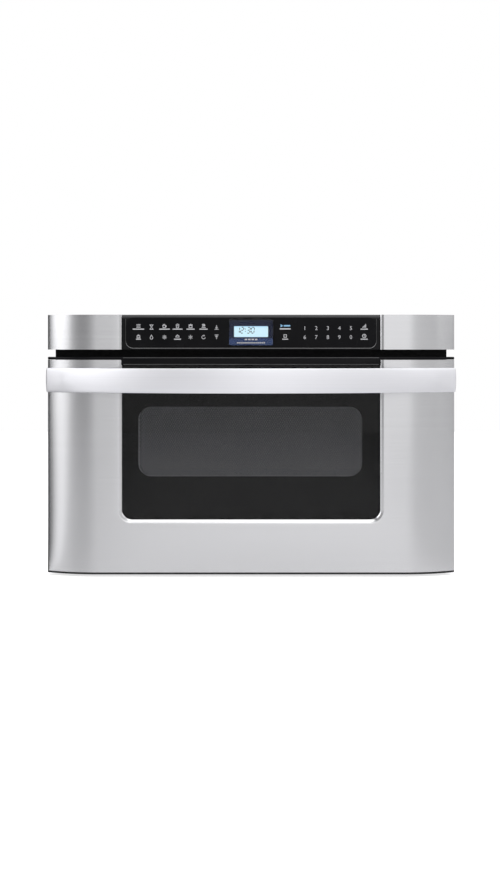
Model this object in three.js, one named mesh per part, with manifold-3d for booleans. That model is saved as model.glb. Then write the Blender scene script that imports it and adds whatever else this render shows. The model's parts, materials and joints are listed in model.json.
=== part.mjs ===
// Built-in microwave drawer, 24-inch class. Millimetres, +Z up, front towards -Y.
// The origin is the middle of the cabinet opening's lower front edge, on the cabinet's face.
import * as THREE from 'three';
import { mergeVertices } from 'three/addons/utils/BufferGeometryUtils.js';
import Module from 'manifold-3d';

const wasm = await Module();
wasm.setup();

// Clearances
const SEAT = 0.3; // between pieces that are fastened together
const RUNNING = 0.4; // between pieces that slide or turn past each other
const OVERLAP = 1; // how far a cut, or a piece joined to another, reaches past the face it starts from

// Facets
const ARC_STEPS = 2; // half the number of chords in an arc
const BEND_STEPS = 3; // the same for the face's wide bends
const ROUND_SIDES = 16; // sides of a turned piece
const SMALL_SIDES = 8; // sides of a small hole or pin

// Outside of the appliance
const FACE_OVERHANG = 9; // face past the front frame at each side
const FACE_STANDOFF = 42; // front surface ahead of the cabinet's face
const FACE_LIFT = 3; // face's lower edge above the base
const BEND_RADIUS = 150; // swept-back ends of the face
const BEND_ANGLE = 29.5; // degrees
const CORNER_RADIUS = 4;
const SKIN_SHEET = 1.2;
const SIDE_SPACE = 55; // from the cavity to the outside of the case, for the slides
const HEADROOM = 4.2; // stirrer's motor to the case's roof
const REAR_SPACE = 148.5; // cavity to the rear panel, for the magnetron, fan and transformer
const FACE_TOP_OVERHANG = 21; // face above the case
const CASE_SHEET = 1.2;

// Drawer front
const BOTTOM_TRIM_HEIGHT = 3.5;
const TOP_CAP_HEIGHT = 4.9;
const TOP_CAP_SKIRT = 10.5; // how far the cap hangs down over the glass
const TOP_CAP_SKIRT_DEPTH = 4.5;
const OPENING_WIDTH = 381; // visible width of the glass
const OPENING_BOTTOM = 81.5; // visible lower edge of the glass above the face's lower edge
const OPENING_RADIUS = 15;
const LIP_WIDTH = 5.2; // slanted edge round the glass
const LIP_DEPTH = 4.8;
const GLASS_THICKNESS = 4;
const GLASS_OVERLAP = 6; // glass behind the steel
const SCREEN_SHEET = 0.8;
const SCREEN_OVERLAP = 10;
const WINDOW_WIDTH = 329;
const WINDOW_RISE = 38.8; // window's lower edge above the cavity's floor
const WINDOW_DROP = 39.6; // window's upper edge below the cavity's ceiling
const WINDOW_RADIUS = 14;
const DOOR_FRAME_GAP = 1.7; // slides to the inside of the door frame's edge
const DOOR_FRAME_SHEET = 1.5;
const DOOR_FRAME_MARGIN = 6; // frame to the skin's ends, top and bottom
const CHOKE_SIDE_OVERLAP = 30; // choke cover past the cavity's mouth at each side
const CHOKE_OVERLAP = 9; // the same above and below
const CHOKE_WALL = 3;
const CHOKE_RADIUS = 8;
const PANE_THICKNESS = 3;
const PANE_LEDGE = 4;
const DOOR_GAP = 2; // drawer front to the front frame

// Handle
const HANDLE_HEIGHT = 36.8;
const HANDLE_DROP = 15.9; // below the drawer front's upper edge
const HANDLE_STANDOFF = 56; // front of the handle ahead of the face
const HANDLE_THICKNESS = 9;
const HANDLE_LAP = 2.4; // past the face at each end
const HANDLE_TIP = 2; // front of the handle ahead of the face's swept-back edge
const HANDLE_RETURN = 30; // how far the ends reach back, behind the face's front
const HANDLE_CROWN = 2.2;
const HANDLE_STEPS = 22;
const HANDLE_BRACKET_HEIGHT = 28;
const HANDLE_BRACKET_GAP = 2.85; // behind the skin's swept-back edge
const HANDLE_SCREW_SPACING = 16;
const SCREW_RADIUS = 2.2;

// Control panel
const CONTROL_GAP = 10; // between the drawer and the control panel
const CONTROL_HEIGHT = 51.5;
const BEZEL_SETBACK = 1;
const BEZEL_WALL = 3;
const BEZEL_DEPTH = 10;
const BEZEL_CHAMFER = 4.2;
const TOUCH_SIDE_MARGIN = 6; // steel opening's sides to the touch plate
const TOUCH_MARGIN = 4.25; // strip's upper and lower edges to the touch plate
const TOUCH_RADIUS = 11;
const TOUCH_THICKNESS = 1.6;
const LENS_WIDTH = 65;
const LENS_MARGIN = 1.8; // touch plate's upper and lower edges to the lens
const LENS_RADIUS = 2;
const LCD_WIDTH = 56;
const LCD_HEIGHT = 24;
const LCD_DEPTH = 7;
const LCD_BORDER = 2; // hidden edge of the display module
const BOARD_SHEET = 1.6;
const CONTROL_BOARD_WIDTH = 250;
const CONTROL_BOARD_HEIGHT = 38;
const RELAY_WIDTH = 20;
const RELAY_DEPTH = 11;
const RELAY_HEIGHT = 15;
const RELAY_COUNT = 4;
const RELAY_PITCH = 48;
const HOUSING_POCKET_DEPTH = 30;
const HOUSING_POCKET_INSET = 2.5; // pocket inside the steel opening's sides
const HOUSING_WALL = 3;
const HOUSING_POST_RADIUS = 3.5;
const HOUSING_POST_INSET = 14; // post to the circuit board's end

// Front frame
const FLANGE_WIDTH = 17.2; // flat flange at each side, for the screws
const FRAME_BOTTOM = 6;
const FLANGE_RISE = 13.2; // flange above the raised panel
const FRAME_SHEET = 1.5;
const FRAME_STEP = 6; // raised panel ahead of the cabinet's face
const FLANGE_SCREW_ROWS = [60, 190, 320];
const RAIL_SLOT_MARGIN = 3;
const PANEL_RISE = 8; // raised panel above the flange's lower edge

// Cavity and drawer tub
const CAVITY_WIDTH = 440;
const CAVITY_HEIGHT = 181;
const CAVITY_DEPTH = 420;
const CAVITY_FLOOR = 110; // above the base
const CAVITY_SHEET = 1;
const CAVITY_FLANGE = 10;
const CAVITY_RADIUS = 6;
const VENT_HOLE = 5;
const VENT_PITCH = 12;
const VENT_ROWS = 2;
const VENT_COLUMNS = 3;
const TUB_CLEARANCE = 4; // to the cavity's walls
const TUB_LIFT = 3; // above the cavity's floor
const TUB_WALL = 3;
const TUB_HEIGHT = 120;
const TUB_RADIUS = 24;
const TUB_REAR_CLEARANCE = 12;
const TUB_RIM = 1.6;
const TUB_RIM_HEIGHT = 4;
const TUB_FRONT_LIP = 26;
const TUB_FRONT_POST = 44;
const TRAY_CLEARANCE = 16;
const TRAY_THICKNESS = 5;

// Cavity fittings
const LAMP_Y = 330;
const LAMP_Z = 252;
const LAMP_HOOD = 44; // side of the square hood
const LAMP_HOOD_DEPTH = 12;
const LAMP_SHEET = 1.5;
const LAMP_SOCKET_RADIUS = 11;
const LAMP_SOCKET_LENGTH = 22;
const LAMP_BULB_RADIUS = 7.7;
const LAMP_BULB_REACH = 4.4; // bulb's centre inside the hood's lid
const SENSOR_FLANGE_WIDTH = 36;
const SENSOR_FLANGE_HEIGHT = 26;
const SENSOR_RADIUS = 9;
const SENSOR_LENGTH = 12;
const CUTOUT_X = 130;
const CUTOUT_Y = 340;
const CUTOUT_RADIUS = 8.5;
const CUTOUT_HEIGHT = 9;
const CUTOUT_FLANGE_LENGTH = 34;
const CUTOUT_FLANGE_WIDTH = 16;
const CUTOUT_SHEET = 1.2;
const TERMINAL_WIDTH = 6.3; // blade terminals on the electrical pieces
const TERMINAL_SHEET = 1;
const TERMINAL_LENGTH = 8;
const TERMINAL_PITCH = 8;

// Microwave feed
const FEED_Y = 210; // centre of the stirrer behind the cabinet's face
const POCKET_SIZE = 140;
const POCKET_DEPTH = 14;
const FEED_HOLE_RADIUS = 35;
const FEED_COVER_SIZE = 162;
const FEED_COVER_SHEET = 1.2;
const FEED_COVER_RADIUS = 6;
const WAVEGUIDE_WIDTH = 82;
const WAVEGUIDE_HEIGHT = 40;
const WAVEGUIDE_SHEET = 1.2;
const WAVEGUIDE_FRONT_MARGIN = 50; // guide's ends past the stirrer's and the magnetron's axes
const WAVEGUIDE_REAR_MARGIN = 51;
const STIRRER_RADIUS = 58;
const STIRRER_SHEET = 1.2;
const STIRRER_SLOT_WIDTH = 7;
const STIRRER_SLOT_LENGTH = 29;
const STIRRER_SLOT_RADIUS = 34.8; // slot's middle from the axis
const STIRRER_SLOTS = 3;
const STIRRER_SIDES = 24;
const STIRRER_SHAFT_RADIUS = 4;
const STIRRER_DROP = 9; // blade below the pocket's roof
const STIRRER_MOTOR_RADIUS = 24;
const STIRRER_MOTOR_HEIGHT = 14;
const STIRRER_MOTOR_EAR = 34;
const STIRRER_MOTOR_EAR_WIDTH = 12;
const MAGNETRON_WIDTH = 96;
const MAGNETRON_DEPTH = 78;
const MAGNETRON_HEIGHT = 82;
const MAGNETRON_PLATE = 2.5;
const MAGNETRON_ANODE_RADIUS = 20;
const MAGNETRON_FINS = 5;
const MAGNETRON_FIN_SHEET = 1.2;
const MAGNETRON_FIN_MARGIN = 4; // fins to the yoke's open sides
const ANTENNA_RADIUS = 8;
const ANTENNA_HEIGHT = 24;
const LAUNCH_GAP = 4; // antenna to the edge of its hole
const FILTER_BOX_HEIGHT = 18;
const FILTER_BOX_INSET_X = 8;
const FILTER_BOX_INSET_Y = 6;

// Cooling air
const SHROUD_X = -62;
const SHROUD_SHEET = 2;
const SHROUD_GAP = 29.8; // below the case's roof
const SHROUD_NOTCH_RISE = 4; // notch for the cavity's rear support, above the cavity's floor
const SHROUD_NOTCH_GAP = 10;
const FAN_OFFSET_Y = 4.75; // behind the middle of the rear space
const FAN_Z = 258;
const FAN_RADIUS = 50;
const FAN_TIP_GAP = 4;
const FAN_HUB_RADIUS = 15;
const FAN_HUB_LENGTH = 22;
const FAN_BLADES = 5;
const FAN_CHORD = 34;
const FAN_BLADE_THICKNESS = 1.8;
const FAN_CAMBER = 3.5;
const FAN_ROOT_RADIUS = 12; // blade roots inside the hub
const FAN_ROOT_SHARE = 0.5; // chord at the root, as a share of the tip's
const FAN_ROOT_PITCH = 42; // degrees
const FAN_TIP_PITCH = 24;
const FAN_SHAFT_RADIUS = 3;
const BELLMOUTH_DEPTH = 8;
const FAN_MOTOR_WIDTH = 62;
const FAN_MOTOR_HEIGHT = 52;
const FAN_MOTOR_STACK = 22;
const FAN_SETBACK = 4; // wheel's middle behind the shroud
const FAN_MOTOR_OFFSET = 36; // from the shroud
const FAN_STRAP_OFFSET = 24;
const FAN_STRAP_SHEET = 2;
const FAN_STRAP_WIDTH = 10;
const FAN_COIL_WIDTH = 26;
const FAN_COIL_HEIGHT = 18;
const FAN_COIL_DROP = 6; // below the laminations
const FAN_COIL_OVERHANG = 7;
const FAN_BEARING_WALL = 4;
const DUCT_WIDTH = 74;
const DUCT_HEIGHT = 80;
const DUCT_WALL = 1.5;
const DUCT_BEND = 20;
const DUCT_OUTLET_X = 110;
const DUCT_TOP_INSET = 2; // duct below the waveguide
const SLOT_HEIGHT = 4.5;
const SLOT_PITCH = 10;
const SLOT_MARGIN = 4; // louvre slots to the duct's sides
const OUTLET_SLOTS = 7;
const OUTLET_SLOT_RISE = 6;
const INTAKE_SLOTS = 10;
const INTAKE_SLOT_INSET = 115; // slots' middle from the case's left side
const INTAKE_SLOT_WIDTH = 140;
const INTAKE_SLOT_BOTTOM = 60;
const CASE_SLOTS = 7;
const CASE_SLOT_LENGTH = 100;
const CASE_SLOT_PITCH = 20;
const CASE_SLOT_RISE = 40; // above the base pan's sides

// Power supply
const TRANSFORMER_INSET = 125; // middle from the case's right side
const TRANSFORMER_OFFSET_Y = 13; // behind the middle of the rear space
const TRANSFORMER_WIDTH = 96;
const TRANSFORMER_DEPTH = 58;
const TRANSFORMER_HEIGHT = 78;
const TRANSFORMER_FOOT = 10;
const TRANSFORMER_FOOT_SHEET = 2;
const COIL_OVERHANG = 17;
const PRIMARY_WIDTH = 60;
const PRIMARY_BOTTOM = 12;
const PRIMARY_HEIGHT = 22;
const SECONDARY_WIDTH = 64;
const SECONDARY_BOTTOM = 40;
const SECONDARY_HEIGHT = 26;
const COIL_RADIUS = 6;
const CAPACITOR_INSET = 107; // middle from the case's left side
const CAPACITOR_OFFSET_Y = 17;
const CAPACITOR_WIDTH = 88;
const CAPACITOR_HEIGHT = 36;
const CAPACITOR_LENGTH = 54;
const CAPACITOR_CLAMP = 14;
const CAPACITOR_CLAMP_SHEET = 1.2;
const CAPACITOR_FOOT = 16;
const CAPACITOR_TERMINAL_SPAN = 30;
const FILTER_INSET = 97; // middle from the case's left side
const FILTER_DROP = 66; // middle from the case's roof
const FILTER_WIDTH = 92;
const FILTER_HEIGHT = 62;
const FILTER_POST = 9;
const FILTER_POST_RADIUS = 3;
const FILTER_POST_INSET = 7;
const CHOKE_COIL_RADIUS = 14;
const CHOKE_COIL_LENGTH = 18;
const CHOKE_COIL_OFFSET = -22;
const FILTER_CAP_OFFSET = 12;
const FILTER_CAP_WIDTH = 12;
const FILTER_CAP_HEIGHT = 26;
const FILTER_CAP_DEPTH = 16;
const FUSE_OFFSET = 34;
const FUSE_WIDTH = 8;
const FUSE_HEIGHT = 36;
const FUSE_DEPTH = 8;
const CORD_INSET = 37; // from the case's left side
const CORD_DROP = 36; // from the case's roof
const CORD_HOLE_RADIUS = 11;
const CORD_BORE_RADIUS = 5;
const CORD_FLANGE = 3;
const CORD_BUSHING_LENGTH = 6;

// Slides
const SLIDE_HEIGHT = 45;
const SLIDE_THICKNESS = 12.7;
const SLIDE_SHEET = 1.2;
const SLIDE_LIP = 3.3;
const SLIDE_BALL = 2.5;
const SLIDE_DROP = 26; // slide's centre below the cavity's floor
const SLIDE_LENGTH = 450;
const SLIDE_SETBACK = 4;
const SLIDE_SCREWS = [54, 225, 396]; // from the slide's front end
const PAN_SHEET = 1.2;
const PAN_WALL_MARGIN = 11.5; // pan's sides above the slides
const PAN_BEAD_WIDTH = 10;
const PAN_BEAD_X = 198;
const PAN_BEAD_HEIGHT = 3;
const RAIL_SHEET = 1.3;
const RAIL_HEIGHT = 30;
const RACK_OVERRUN = 14; // rails and rack past the last tooth that the pinion reaches
const RAIL_TAB = 22;
const CROSSBAR_DEPTH = 18;
const CROSSBAR_SHEET = 1.5;
const CROSSBAR_FLANGE = 8;
const CROSSBAR_TAB = 12;
const SUPPORT_SHELF = 24;
const SUPPORT_GAP = 1.2; // cavity's rear support behind the crossbar

// Rack and gears
const RACK_WIDTH = 14;
const RACK_HEIGHT = 14;
const RACK_DROP = 13; // rack's top below the cavity's floor
const RACK_FOOT_HEIGHT = 36;
const RACK_FOOT_WIDTH = 40;
const RACK_FOOT_SHEET = 2;
const DRAWER_TRAVEL = 381; // full travel of the drawer
const PRESSURE_ANGLE = 20; // degrees
const ADDENDUM = 1;
const DEDENDUM = 1.25;
const FLANK_STEPS = 2;
const BACKLASH = 0.16;
const CENTRE_CLEARANCE = 0.12;
const RACK_MODULE = 2;
const PINION_TEETH = 17;
const WHEEL_MODULE = 1.5;
const WHEEL_TEETH = 32;
const MOTOR_PINION_TEETH = 16;
const WHEEL_FACE = 8;
const PINION_OVERHANG = 1;
const GEAR_SIDE_GAP = 2; // between the pinion's end, the wheel and the bracket's cheeks
const GEAR_Y = 45;
const GEAR_PIN_RADIUS = 4;
const MOTOR_ANGLE = -30; // degrees, from the wheel's axis to the motor's
const MOTOR_SHAFT_RADIUS = 3;
const BRACKET_SHEET = 1.5;
const BRACKET_MARGIN = 12;
const GEARBOX_SIZE = 52;
const GEARBOX_DEPTH = 24;
const GEARBOX_RADIUS = 8;
const MOTOR_RADIUS = 18;
const MOTOR_LENGTH = 44;

// Interlock
const LATCH_X = 140;
const LATCH_WIDTH = 8;
const LATCH_HEIGHT = 30;
const LATCH_CENTRE = 58; // above the base
const LATCH_REACH = 11.5; // tip behind the cabinet's face
const LATCH_FOOT = 24;
const SWITCH_LENGTH = 28;
const SWITCH_HEIGHT = 16;
const SWITCH_THICKNESS = 10;
const SWITCH_PITCH = 20;
const PLUNGER_SIZE = 4;
const PLUNGER_REACH = 4;
const SWITCH_TERMINALS = 3;
const SWITCH_TERMINAL_PITCH = 5;
const SWITCH_BRACKET_LENGTH = 58;

// Places worked out from the sizes above
const yFront = -FACE_STANDOFF;
const yFrame = -FRAME_STEP;
const yDoorBack = yFrame - DOOR_GAP;
const zCavity = [CAVITY_FLOOR, CAVITY_FLOOR + CAVITY_HEIGHT];
const zPocketRoof = zCavity[1] + POCKET_DEPTH;
const zWaveguide = [
  zPocketRoof + CAVITY_SHEET + SEAT,
  zPocketRoof + CAVITY_SHEET + SEAT + WAVEGUIDE_HEIGHT,
];
const zCaseTop = zWaveguide[1] + SEAT + STIRRER_MOTOR_HEIGHT + HEADROOM + CASE_SHEET;
const zControlTop = zCaseTop + FACE_TOP_OVERHANG;
const zControlBottom = zControlTop - CONTROL_HEIGHT;
const zControlMiddle = (zControlBottom + zControlTop) / 2;
const zDrawerTop = zControlBottom - CONTROL_GAP;
const zDrawerBottom = FACE_LIFT;
const zSkinBottom = zDrawerBottom + BOTTOM_TRIM_HEIGHT + SEAT;
const zSkinTop = zDrawerTop - TOP_CAP_HEIGHT - SEAT;
const zHandle = [zDrawerTop - HANDLE_DROP - HANDLE_HEIGHT, zDrawerTop - HANDLE_DROP];
const zWindow = [zCavity[0] + WINDOW_RISE, zCavity[1] - WINDOW_DROP];
const yGlass = [yFront + LIP_DEPTH + SEAT, yFront + LIP_DEPTH + SEAT + GLASS_THICKNESS];
const yScreen = [yGlass[1] + SEAT, yGlass[1] + SEAT + SCREEN_SHEET];
const yDoorFrame = [yScreen[1] + SEAT, yScreen[1] + SEAT + DOOR_FRAME_SHEET];
const yDoorPieces = yDoorFrame[1] + SEAT; // front of what is fastened to the door frame's back
const yCavityFlange = [yFrame + FRAME_SHEET + SEAT, yFrame + FRAME_SHEET + SEAT + CAVITY_SHEET];
const xCase = CAVITY_WIDTH / 2 + SIDE_SPACE;
const xPanel = xCase + SEAT + FRAME_SHEET; // front frame's raised panel
const xFlange = xPanel + FLANGE_WIDTH;
const xCord = CORD_INSET - xCase;
const zCord = zCaseTop - CORD_DROP;
const xFilter = FILTER_INSET - xCase;
const zFilter = zCaseTop - FILTER_DROP;
const xCapacitor = CAPACITOR_INSET - xCase;
const xIntake = INTAKE_SLOT_INSET - xCase;
const xTransformer = xCase - TRANSFORMER_INSET;
const xFace = xFlange + FACE_OVERHANG;
const zPanel = [FRAME_BOTTOM + PANEL_RISE, zCaseTop + SEAT + FRAME_SHEET];
const zCaseBottom = zPanel[0] + FRAME_SHEET + SEAT;
const xPanWall = xCase - CASE_SHEET - SEAT;
const zSlide = CAVITY_FLOOR - SLIDE_DROP;
const zPanWall = zSlide + SLIDE_HEIGHT / 2 + PAN_WALL_MARGIN;
const zOnPan = PAN_SHEET + SEAT; // underside of what stands on the base pan
const xSlide = xPanWall - PAN_SHEET - SEAT; // outer face of the slide's outer member
const xSlideTip = xSlide - 2 * (SLIDE_SHEET + RUNNING); // outer edge of the slide's inner member
const xDoorFrame = xSlideTip + DOOR_FRAME_GAP + DOOR_FRAME_SHEET;
const yCavityBack = CAVITY_DEPTH + CAVITY_SHEET;
const yRear = [yCavityBack + REAR_SPACE, yCavityBack + REAR_SPACE + CASE_SHEET];
const yCaseEnd = yRear[1] + SEAT;
const yRearMiddle = (yCavityBack + yRear[0]) / 2;
const yMagnetron = yRearMiddle;
const yFan = yRearMiddle + FAN_OFFSET_Y;
const zRackTop = CAVITY_FLOOR - RACK_DROP;
const zRackTip = zRackTop - RACK_HEIGHT;
const zRackPitch = zRackTip + ADDENDUM * RACK_MODULE;
const pinionRadius = PINION_TEETH * RACK_MODULE / 2;
const wheelRadius = WHEEL_TEETH * WHEEL_MODULE / 2;
const motorPinionRadius = MOTOR_PINION_TEETH * WHEEL_MODULE / 2;
const zGear = zRackPitch - pinionRadius - CENTRE_CLEARANCE;
const motorAngle = THREE.MathUtils.degToRad(MOTOR_ANGLE);
const gearCentres = wheelRadius + motorPinionRadius + CENTRE_CLEARANCE;
const yMotor = GEAR_Y + gearCentres * Math.cos(motorAngle);
const zMotor = zGear + gearCentres * Math.sin(motorAngle);
const xPinionEnd = RACK_WIDTH / 2 + PINION_OVERHANG;
const xWheel = [xPinionEnd + GEAR_SIDE_GAP, xPinionEnd + GEAR_SIDE_GAP + WHEEL_FACE];
const xBracket = [-xPinionEnd - GEAR_SIDE_GAP, xWheel[1] + GEAR_SIDE_GAP];

// Materials
function paint(color, roughness, metalness) {
  return new THREE.MeshStandardMaterial({ color, roughness, metalness });
}
const steel = paint(0xcfd0d4, 0.32, 1);
const zinc = paint(0xb4b7ba, 0.45, 0.9);
const blackSheet = paint(0x161617, 0.5, 0.2);
const blackPlastic = paint(0x141415, 0.4, 0);
const darkGlass = paint(0x202224, 0.08, 0);
const navyLens = paint(0x1a2350, 0.1, 0);
const paleEnamel = paint(0xc9cac8, 0.4, 0);
const whitePlastic = paint(0xe4e4e0, 0.5, 0);
const boardGreen = paint(0x2c5a3a, 0.6, 0);
const gearNylon = paint(0xe8e4d6, 0.5, 0);
const mica = paint(0xb8a888, 0.7, 0);
const copper = paint(0xa8653a, 0.5, 0.6);
const iron = paint(0x55565a, 0.6, 0.6);
const clearGlass = paint(0xd8e2e0, 0.05, 0);

// Geometry helpers
function box(x, y, z) {
  const geometry = new THREE.BoxGeometry(x[1] - x[0], y[1] - y[0], z[1] - z[0]);
  geometry.translate((x[0] + x[1]) / 2, (y[0] + y[1]) / 2, (z[0] + z[1]) / 2);
  return geometry;
}

function extrusion(shape, length, options = {}) {
  const settings = { depth: length, bevelEnabled: false, curveSegments: ARC_STEPS, ...options };
  return new THREE.ExtrudeGeometry(shape, settings);
}

// A shape drawn in Y and Z, carried along X
function alongX(shape, x) {
  const geometry = extrusion(shape, x[1] - x[0]);
  const turn = new THREE.Matrix4().makeBasis(
    new THREE.Vector3(0, 1, 0),
    new THREE.Vector3(0, 0, 1),
    new THREE.Vector3(1, 0, 0),
  );
  geometry.applyMatrix4(turn);
  geometry.translate(x[0], 0, 0);
  return geometry;
}

// A shape drawn in X and Z, carried along Y
function alongY(shape, y) {
  const geometry = extrusion(shape, y[1] - y[0]);
  geometry.rotateX(Math.PI / 2);
  geometry.translate(0, y[1], 0);
  return geometry;
}

// A shape drawn in X and Y, carried along Z
function alongZ(shape, z) {
  const geometry = extrusion(shape, z[1] - z[0]);
  geometry.translate(0, 0, z[0]);
  return geometry;
}

function rod(axis, radius, centre, span, sides = ROUND_SIDES) {
  const geometry = new THREE.CylinderGeometry(radius, radius, span[1] - span[0], sides);
  geometry.translate(0, (span[0] + span[1]) / 2, 0);
  if (axis === 'x') {
    geometry.rotateZ(-Math.PI / 2);
    geometry.translate(0, centre[0], centre[1]);
  } else if (axis === 'y') {
    geometry.translate(centre[0], 0, centre[1]);
  } else {
    geometry.rotateX(Math.PI / 2);
    geometry.translate(centre[0], centre[1], 0);
  }
  return geometry;
}

function outline(Kind, u, v, radius = 0) {
  const path = new Kind();
  if (radius === 0) {
    path.moveTo(u[0], v[0]);
    path.lineTo(u[1], v[0]);
    path.lineTo(u[1], v[1]);
    path.lineTo(u[0], v[1]);
    path.closePath();
    return path;
  }
  path.moveTo(u[0] + radius, v[0]);
  path.lineTo(u[1] - radius, v[0]);
  path.absarc(u[1] - radius, v[0] + radius, radius, -Math.PI / 2, 0);
  path.lineTo(u[1], v[1] - radius);
  path.absarc(u[1] - radius, v[1] - radius, radius, 0, Math.PI / 2);
  path.lineTo(u[0] + radius, v[1]);
  path.absarc(u[0] + radius, v[1] - radius, radius, Math.PI / 2, Math.PI);
  path.lineTo(u[0], v[0] + radius);
  path.absarc(u[0] + radius, v[0] + radius, radius, Math.PI, Math.PI * 1.5);
  return path;
}

function plate(u, v, radius = 0, holes = []) {
  const shape = outline(THREE.Shape, u, v, radius);
  shape.holes.push(...holes);
  return shape;
}

function hole(u, v, radius = 0) {
  return outline(THREE.Path, u, v, radius);
}

function roundHole(u, v, radius, sides = SMALL_SIDES) {
  const points = [];
  for (let i = 0; i < sides; i += 1) {
    const angle = 2 * Math.PI * i / sides;
    points.push(new THREE.Vector2(u + radius * Math.cos(angle), v + radius * Math.sin(angle)));
  }
  return new THREE.Path(points);
}

function polygon(points) {
  return new THREE.Shape(points.map(([u, v]) => new THREE.Vector2(u, v)));
}

function ring(u, v, radius, wall) {
  const inner = hole([u[0] + wall, u[1] - wall], [v[0] + wall, v[1] - wall], Math.max(radius - wall, 0));
  return plate(u, v, radius, [inner]);
}

function around(centre, size) {
  return [centre - size / 2, centre + size / 2];
}

function grown(span, margin) {
  return [span[0] - margin, span[1] + margin];
}

function toSolid(geometry) {
  const bare = geometry.clone();
  bare.deleteAttribute('normal');
  bare.deleteAttribute('uv');
  const merged = mergeVertices(bare, 1e-4);
  const index = merged.index.array;
  const corners = [];
  for (let i = 0; i < index.length; i += 3) {
    const [a, b, c] = [index[i], index[i + 1], index[i + 2]];
    if (a !== b && b !== c && c !== a) {
      corners.push(a, b, c);
    }
  }
  return new wasm.Manifold(new wasm.Mesh({
    numProp: 3,
    vertProperties: Float32Array.from(merged.attributes.position.array),
    triVerts: Uint32Array.from(corners),
  }));
}

function toGeometry(solid) {
  const mesh = solid.getMesh();
  const geometry = new THREE.BufferGeometry();
  geometry.setAttribute('position', new THREE.BufferAttribute(mesh.vertProperties, 3));
  geometry.setIndex(new THREE.BufferAttribute(mesh.triVerts, 1));
  return geometry;
}

function join(...pieces) {
  return toGeometry(pieces.map(toSolid).reduce((whole, piece) => whole.add(piece)));
}

function cut(body, ...tools) {
  return toGeometry(tools.map(toSolid).reduce((left, tool) => left.subtract(tool), toSolid(body)));
}

function common(body, tool) {
  return toGeometry(toSolid(body).intersect(toSolid(tool)));
}

function mirrored(geometry) {
  const copy = geometry.index ? geometry.clone() : mergeVertices(geometry);
  copy.scale(-1, 1, 1);
  const index = copy.index.array;
  for (let i = 0; i < index.length; i += 3) {
    [index[i], index[i + 1]] = [index[i + 1], index[i]];
  }
  return copy;
}

function piece(name, geometry, material) {
  const shown = geometry.clone();
  shown.computeVertexNormals();
  const mesh = new THREE.Mesh(shown, material);
  mesh.name = name;
  return mesh;
}

// Plan of the face: flat in the middle, bent back at both ends, with returned sides
const bend = THREE.MathUtils.degToRad(BEND_ANGLE);
const xFlat = xFace - CORNER_RADIUS - (BEND_RADIUS - CORNER_RADIUS) * Math.sin(bend);
const yBendCentre = yFront + BEND_RADIUS;
const xCorner = xFlat + (BEND_RADIUS - CORNER_RADIUS) * Math.sin(bend);
const yCorner = yBendCentre - (BEND_RADIUS - CORNER_RADIUS) * Math.cos(bend);
const ySwept = yBendCentre - BEND_RADIUS * Math.cos(bend); // front of the face's swept-back edge

function facePoints(inset, yEnd) {
  const down = Math.PI * 1.5;
  const bendRadius = BEND_RADIUS - inset;
  const cornerRadius = CORNER_RADIUS - inset;
  const path = new THREE.Path();
  path.moveTo(-xCorner - cornerRadius, yEnd);
  path.lineTo(-xCorner - cornerRadius, yCorner);
  path.absarc(-xCorner, yCorner, cornerRadius, Math.PI, down - bend);
  path.absarc(-xFlat, yBendCentre, bendRadius, down - bend, down);
  path.lineTo(xFlat, yFront + inset);
  path.absarc(xFlat, yBendCentre, bendRadius, down, down + bend);
  path.absarc(xCorner, yCorner, cornerRadius, down + bend, 2 * Math.PI);
  path.lineTo(xCorner + cornerRadius, yEnd);
  return path.getPoints(BEND_STEPS);
}

function faceSolid(inset, yEnd, z) {
  return alongZ(new THREE.Shape(facePoints(inset, yEnd)), z);
}

function faceShell(inset, sheet, yEnd, z) {
  const outer = facePoints(inset, yEnd);
  const inner = facePoints(inset + sheet, yEnd).reverse();
  return alongZ(new THREE.Shape([...outer, ...inner]), z);
}

// The opening's slanted edge as a plug, wide at the face and narrow behind it
function openingPlug(margin) {
  const half = OPENING_WIDTH / 2 + margin;
  const bottom = zDrawerBottom + OPENING_BOTTOM - margin;
  const above = zControlTop + 2 * LIP_WIDTH;
  const radius = OPENING_RADIUS + margin;
  const shape = new THREE.Shape();
  shape.moveTo(-half, above);
  shape.lineTo(-half, bottom + radius);
  shape.absarc(-half + radius, bottom + radius, radius, Math.PI, Math.PI * 1.5);
  shape.lineTo(half - radius, bottom);
  shape.absarc(half - radius, bottom + radius, radius, Math.PI * 1.5, Math.PI * 2);
  shape.lineTo(half, above);
  shape.closePath();
  const flare = extrusion(shape, LIP_DEPTH, {
    bevelEnabled: true,
    bevelThickness: LIP_DEPTH,
    bevelSize: LIP_WIDTH,
    bevelSegments: 1,
  });
  flare.rotateX(Math.PI / 2);
  flare.translate(0, yFront, 0);
  return join(flare, alongY(shape, [yFront, yFront + 2 * LIP_DEPTH]));
}

function skinWithOpening(z) {
  const wall = faceShell(0, SKIN_SHEET, yDoorBack, z);
  const lipSlab = box([-OPENING_WIDTH, OPENING_WIDTH], [yFront, yFront + LIP_DEPTH], z);
  const lip = common(openingPlug(SKIN_SHEET), lipSlab);
  return cut(join(wall, lip), openingPlug(0));
}

// ---- Drawer front ----
function drawerSkin() {
  return skinWithOpening([zSkinBottom, zSkinTop]);
}

function drawerTopCap() {
  const top = faceSolid(0, yDoorBack, [zDrawerTop - TOP_CAP_HEIGHT, zDrawerTop]);
  const half = OPENING_WIDTH / 2 - SEAT;
  const skirt = box(
    [-half, half],
    [yFront, yFront + TOP_CAP_SKIRT_DEPTH],
    [zDrawerTop - TOP_CAP_SKIRT, zDrawerTop - TOP_CAP_HEIGHT / 2],
  );
  return join(top, skirt);
}

function drawerBottomTrim() {
  return faceSolid(0, yDoorBack, [zDrawerBottom, zDrawerBottom + BOTTOM_TRIM_HEIGHT]);
}

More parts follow.
